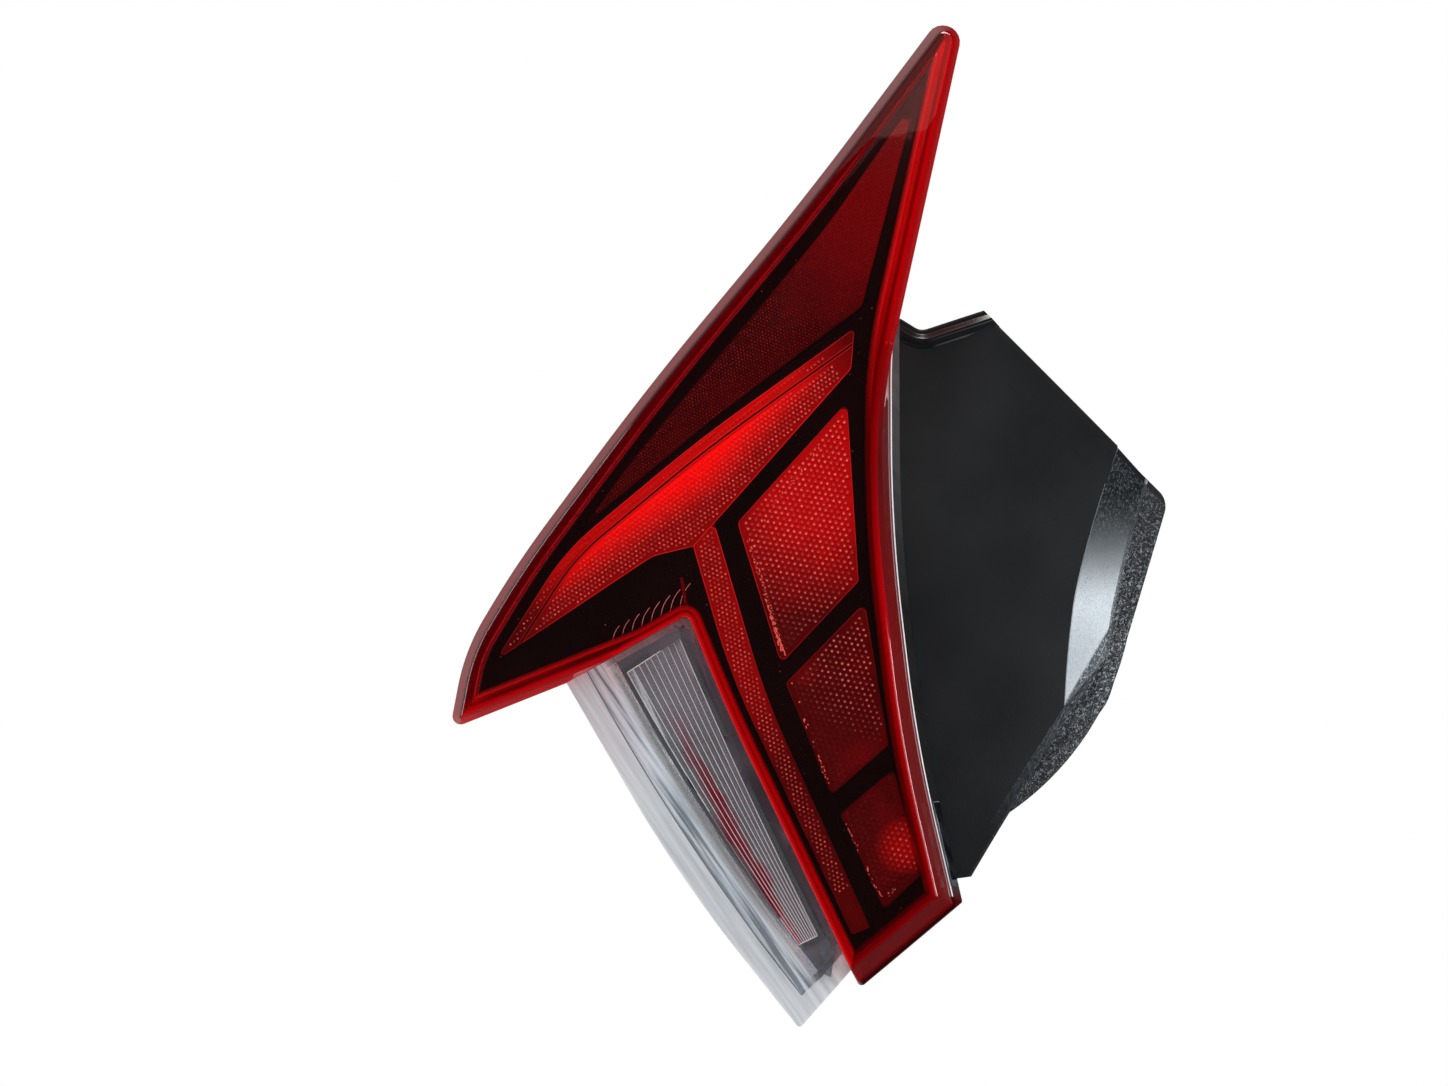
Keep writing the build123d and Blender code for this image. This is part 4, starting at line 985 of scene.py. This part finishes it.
all_rows = (len(outer_rows), len(inner_rows))
mark_lens("glow", [point[2] for point in lens_row([0.0] * SIDES, RIM_GLOW)], all_rows, FIN_GLOW)
mark_lens("inner_glow", [point[2] for point in lens_row([0.0] * SIDES, RIM_INNER)], all_rows, FIN_GLOW)
mark_lens("rim", [1.0] * width, [count - 1 for count in all_rows], 1.0)
face_out(red_mesh, LENS_SHARP, LENS_WELD)

red_acrylic = see_through("red_acrylic", RED_TINT, (1.0, 0.7, 0.7), ACRYLIC_IOR, (0.0, 0.03))
tree, shader, at = opened(red_acrylic)
thick, shine, within = [attribute(tree, name) for name in ("rim", "glow", "inner_glow")]
picked = remap(tree, by_depth(tree, at, 1.2, 1.6), result=(within, shine))
band = ramp(tree, by_depth(tree, at, 0.0, 10.0), (0.12, 0.0), (0.15, 1.0), (0.20, 1.0), (0.24, 0.0))
line = calc(tree, "MULTIPLY", band, remap(tree, within, result=(0.95, 0.0)))
glowing = ramp(tree, picked, (0.0, (0.05, 0.0005, 0.003)), (1.0, (0.7, 0.003, 0.006)))
lined = blend(tree, line, glowing, (0.004, 0.0002, 0.0003))
cloudy = remap(tree, thick, (0.3, 1.0), (1.0, remap(tree, picked, result=(0.92, 0.25))))
feed(tree, shader, Transmission_Weight=cloudy,
     Base_Color=blend(tree, remap(tree, thick, (0.0, 0.15)), RED_TINT, lined))
red_mesh.materials.append(red_acrylic)
red_shell = settle("red_outer_lens", red_mesh)
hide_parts("red_lens")
finish_node("red_lens", red_acrylic)

frosted = see_through("clear_frosted_foot", CLEAR_TINT, (0.95, 0.97, 0.98), ACRYLIC_IOR, (0.0, 0.03))
tree, shader, at = opened(frosted)
x, z = part_of(tree, at, "X"), part_of(tree, at, "Z")
foot = by_depth(tree, at, FOOT_TOP - 0.6, FOOT_TOP + 0.1)
wall = by_depth(tree, at, 5.5, 12.0)
misty = remap(tree, wall, result=(1.0, remap(tree, x, INBOARD, (0.45, 1.0))))
through = remap(tree, foot, result=(misty, remap(tree, x, INBOARD, (0.3, 0.86))))
across = beyond(tree, at, *CLEAR_FLANK)
(x0, z0), (x1, z1) = CLEAR_FLANK
along = beyond(tree, at, CLEAR_FLANK[0], (x0 + z1 - z0, z0 + x0 - x1))
drawn = first_of(tree, "ShaderNodeCombineXYZ", X=across, Y=along)
stretched = first_of(tree, "ShaderNodeMapping", Vector=drawn, Scale=(420.0, 16.0, 1.0))
streaks = noise(tree, stretched, 1.0, 3.0)
# The leaning wall is painted in dark to blue-white streaks: painted highlight streaks.
wall_highlight_streaks = ramp(tree, calc(tree, "MULTIPLY_ADD", along, -0.6, streaks), (0.36, (0.16, 0.19, 0.22)),
                    (0.46, (0.55, 0.62, 0.69)), (0.56, (0.86, 0.92, 0.98)))
foot_streaks = ramp(tree, streaks, (0.34, (0.55, 0.58, 0.61)), (0.6, (0.74, 0.765, 0.79)))
pale = blend(tree, foot, blend(tree, wall, CLEAR_TINT, wall_highlight_streaks), foot_streaks)
# The foot on the right, under the red rim, is painted darker towards the bottom: painted shade.
shade = remap(tree, x, INBOARD, (1.0, remap(tree, z, (-0.02, 0.1), (0.12, 0.6))))
under_red = remap(tree, beyond(tree, at, *DIVIDER), (0.0, 0.002))
tint = remap(tree, z, (-0.138, -0.147), (0.0, under_red))
feed(tree, shader, Transmission_Weight=through,
     Base_Color=blend(tree, tint, blend(tree, foot, pale, shade, "MULTIPLY"), (0.10, 0.001, 0.002)),
     Roughness=calc(tree, "MULTIPLY_ADD", foot, 0.3, source(shader, "Roughness")))
finish_node("clear_lens", frosted)
edge_slate = moulded("edge_slate", (0.10, 0.12, 0.14), (0.18, 0.2, 0.22), (0.15, 0.3), 900.0, 0.00002)
grow("clear_lens_edge", "clear_lens", beads, edge_slate, Lens=nodes["clear_lens"], Inside=True,
     From=FOOT_EDGE_DEPTHS[0] * MM, Depth=FOOT_EDGE_DEPTHS[1] * MM, Radius=FOOT_EDGE_RADIUS * MM)
# A white line laid along the outer edge of the foot is a painted highlight.
low, high = FOOT_GLINT_ENDS
foot_line = [(x + FOOT_GLINT_SHIFT, z) for x, z, _ in outer_rows[0] if x > 20 and low < z < high]
grow("clear_foot_glint", "clear_lens", lay, highlight_white, [foot_line], Onto=nodes["clear_lens"],
     Radius=FOOT_GLINT_RADIUS * MM)

size = {"cad": [list(corner) for corner in cad_box], "visual": [list(corner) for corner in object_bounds()]}
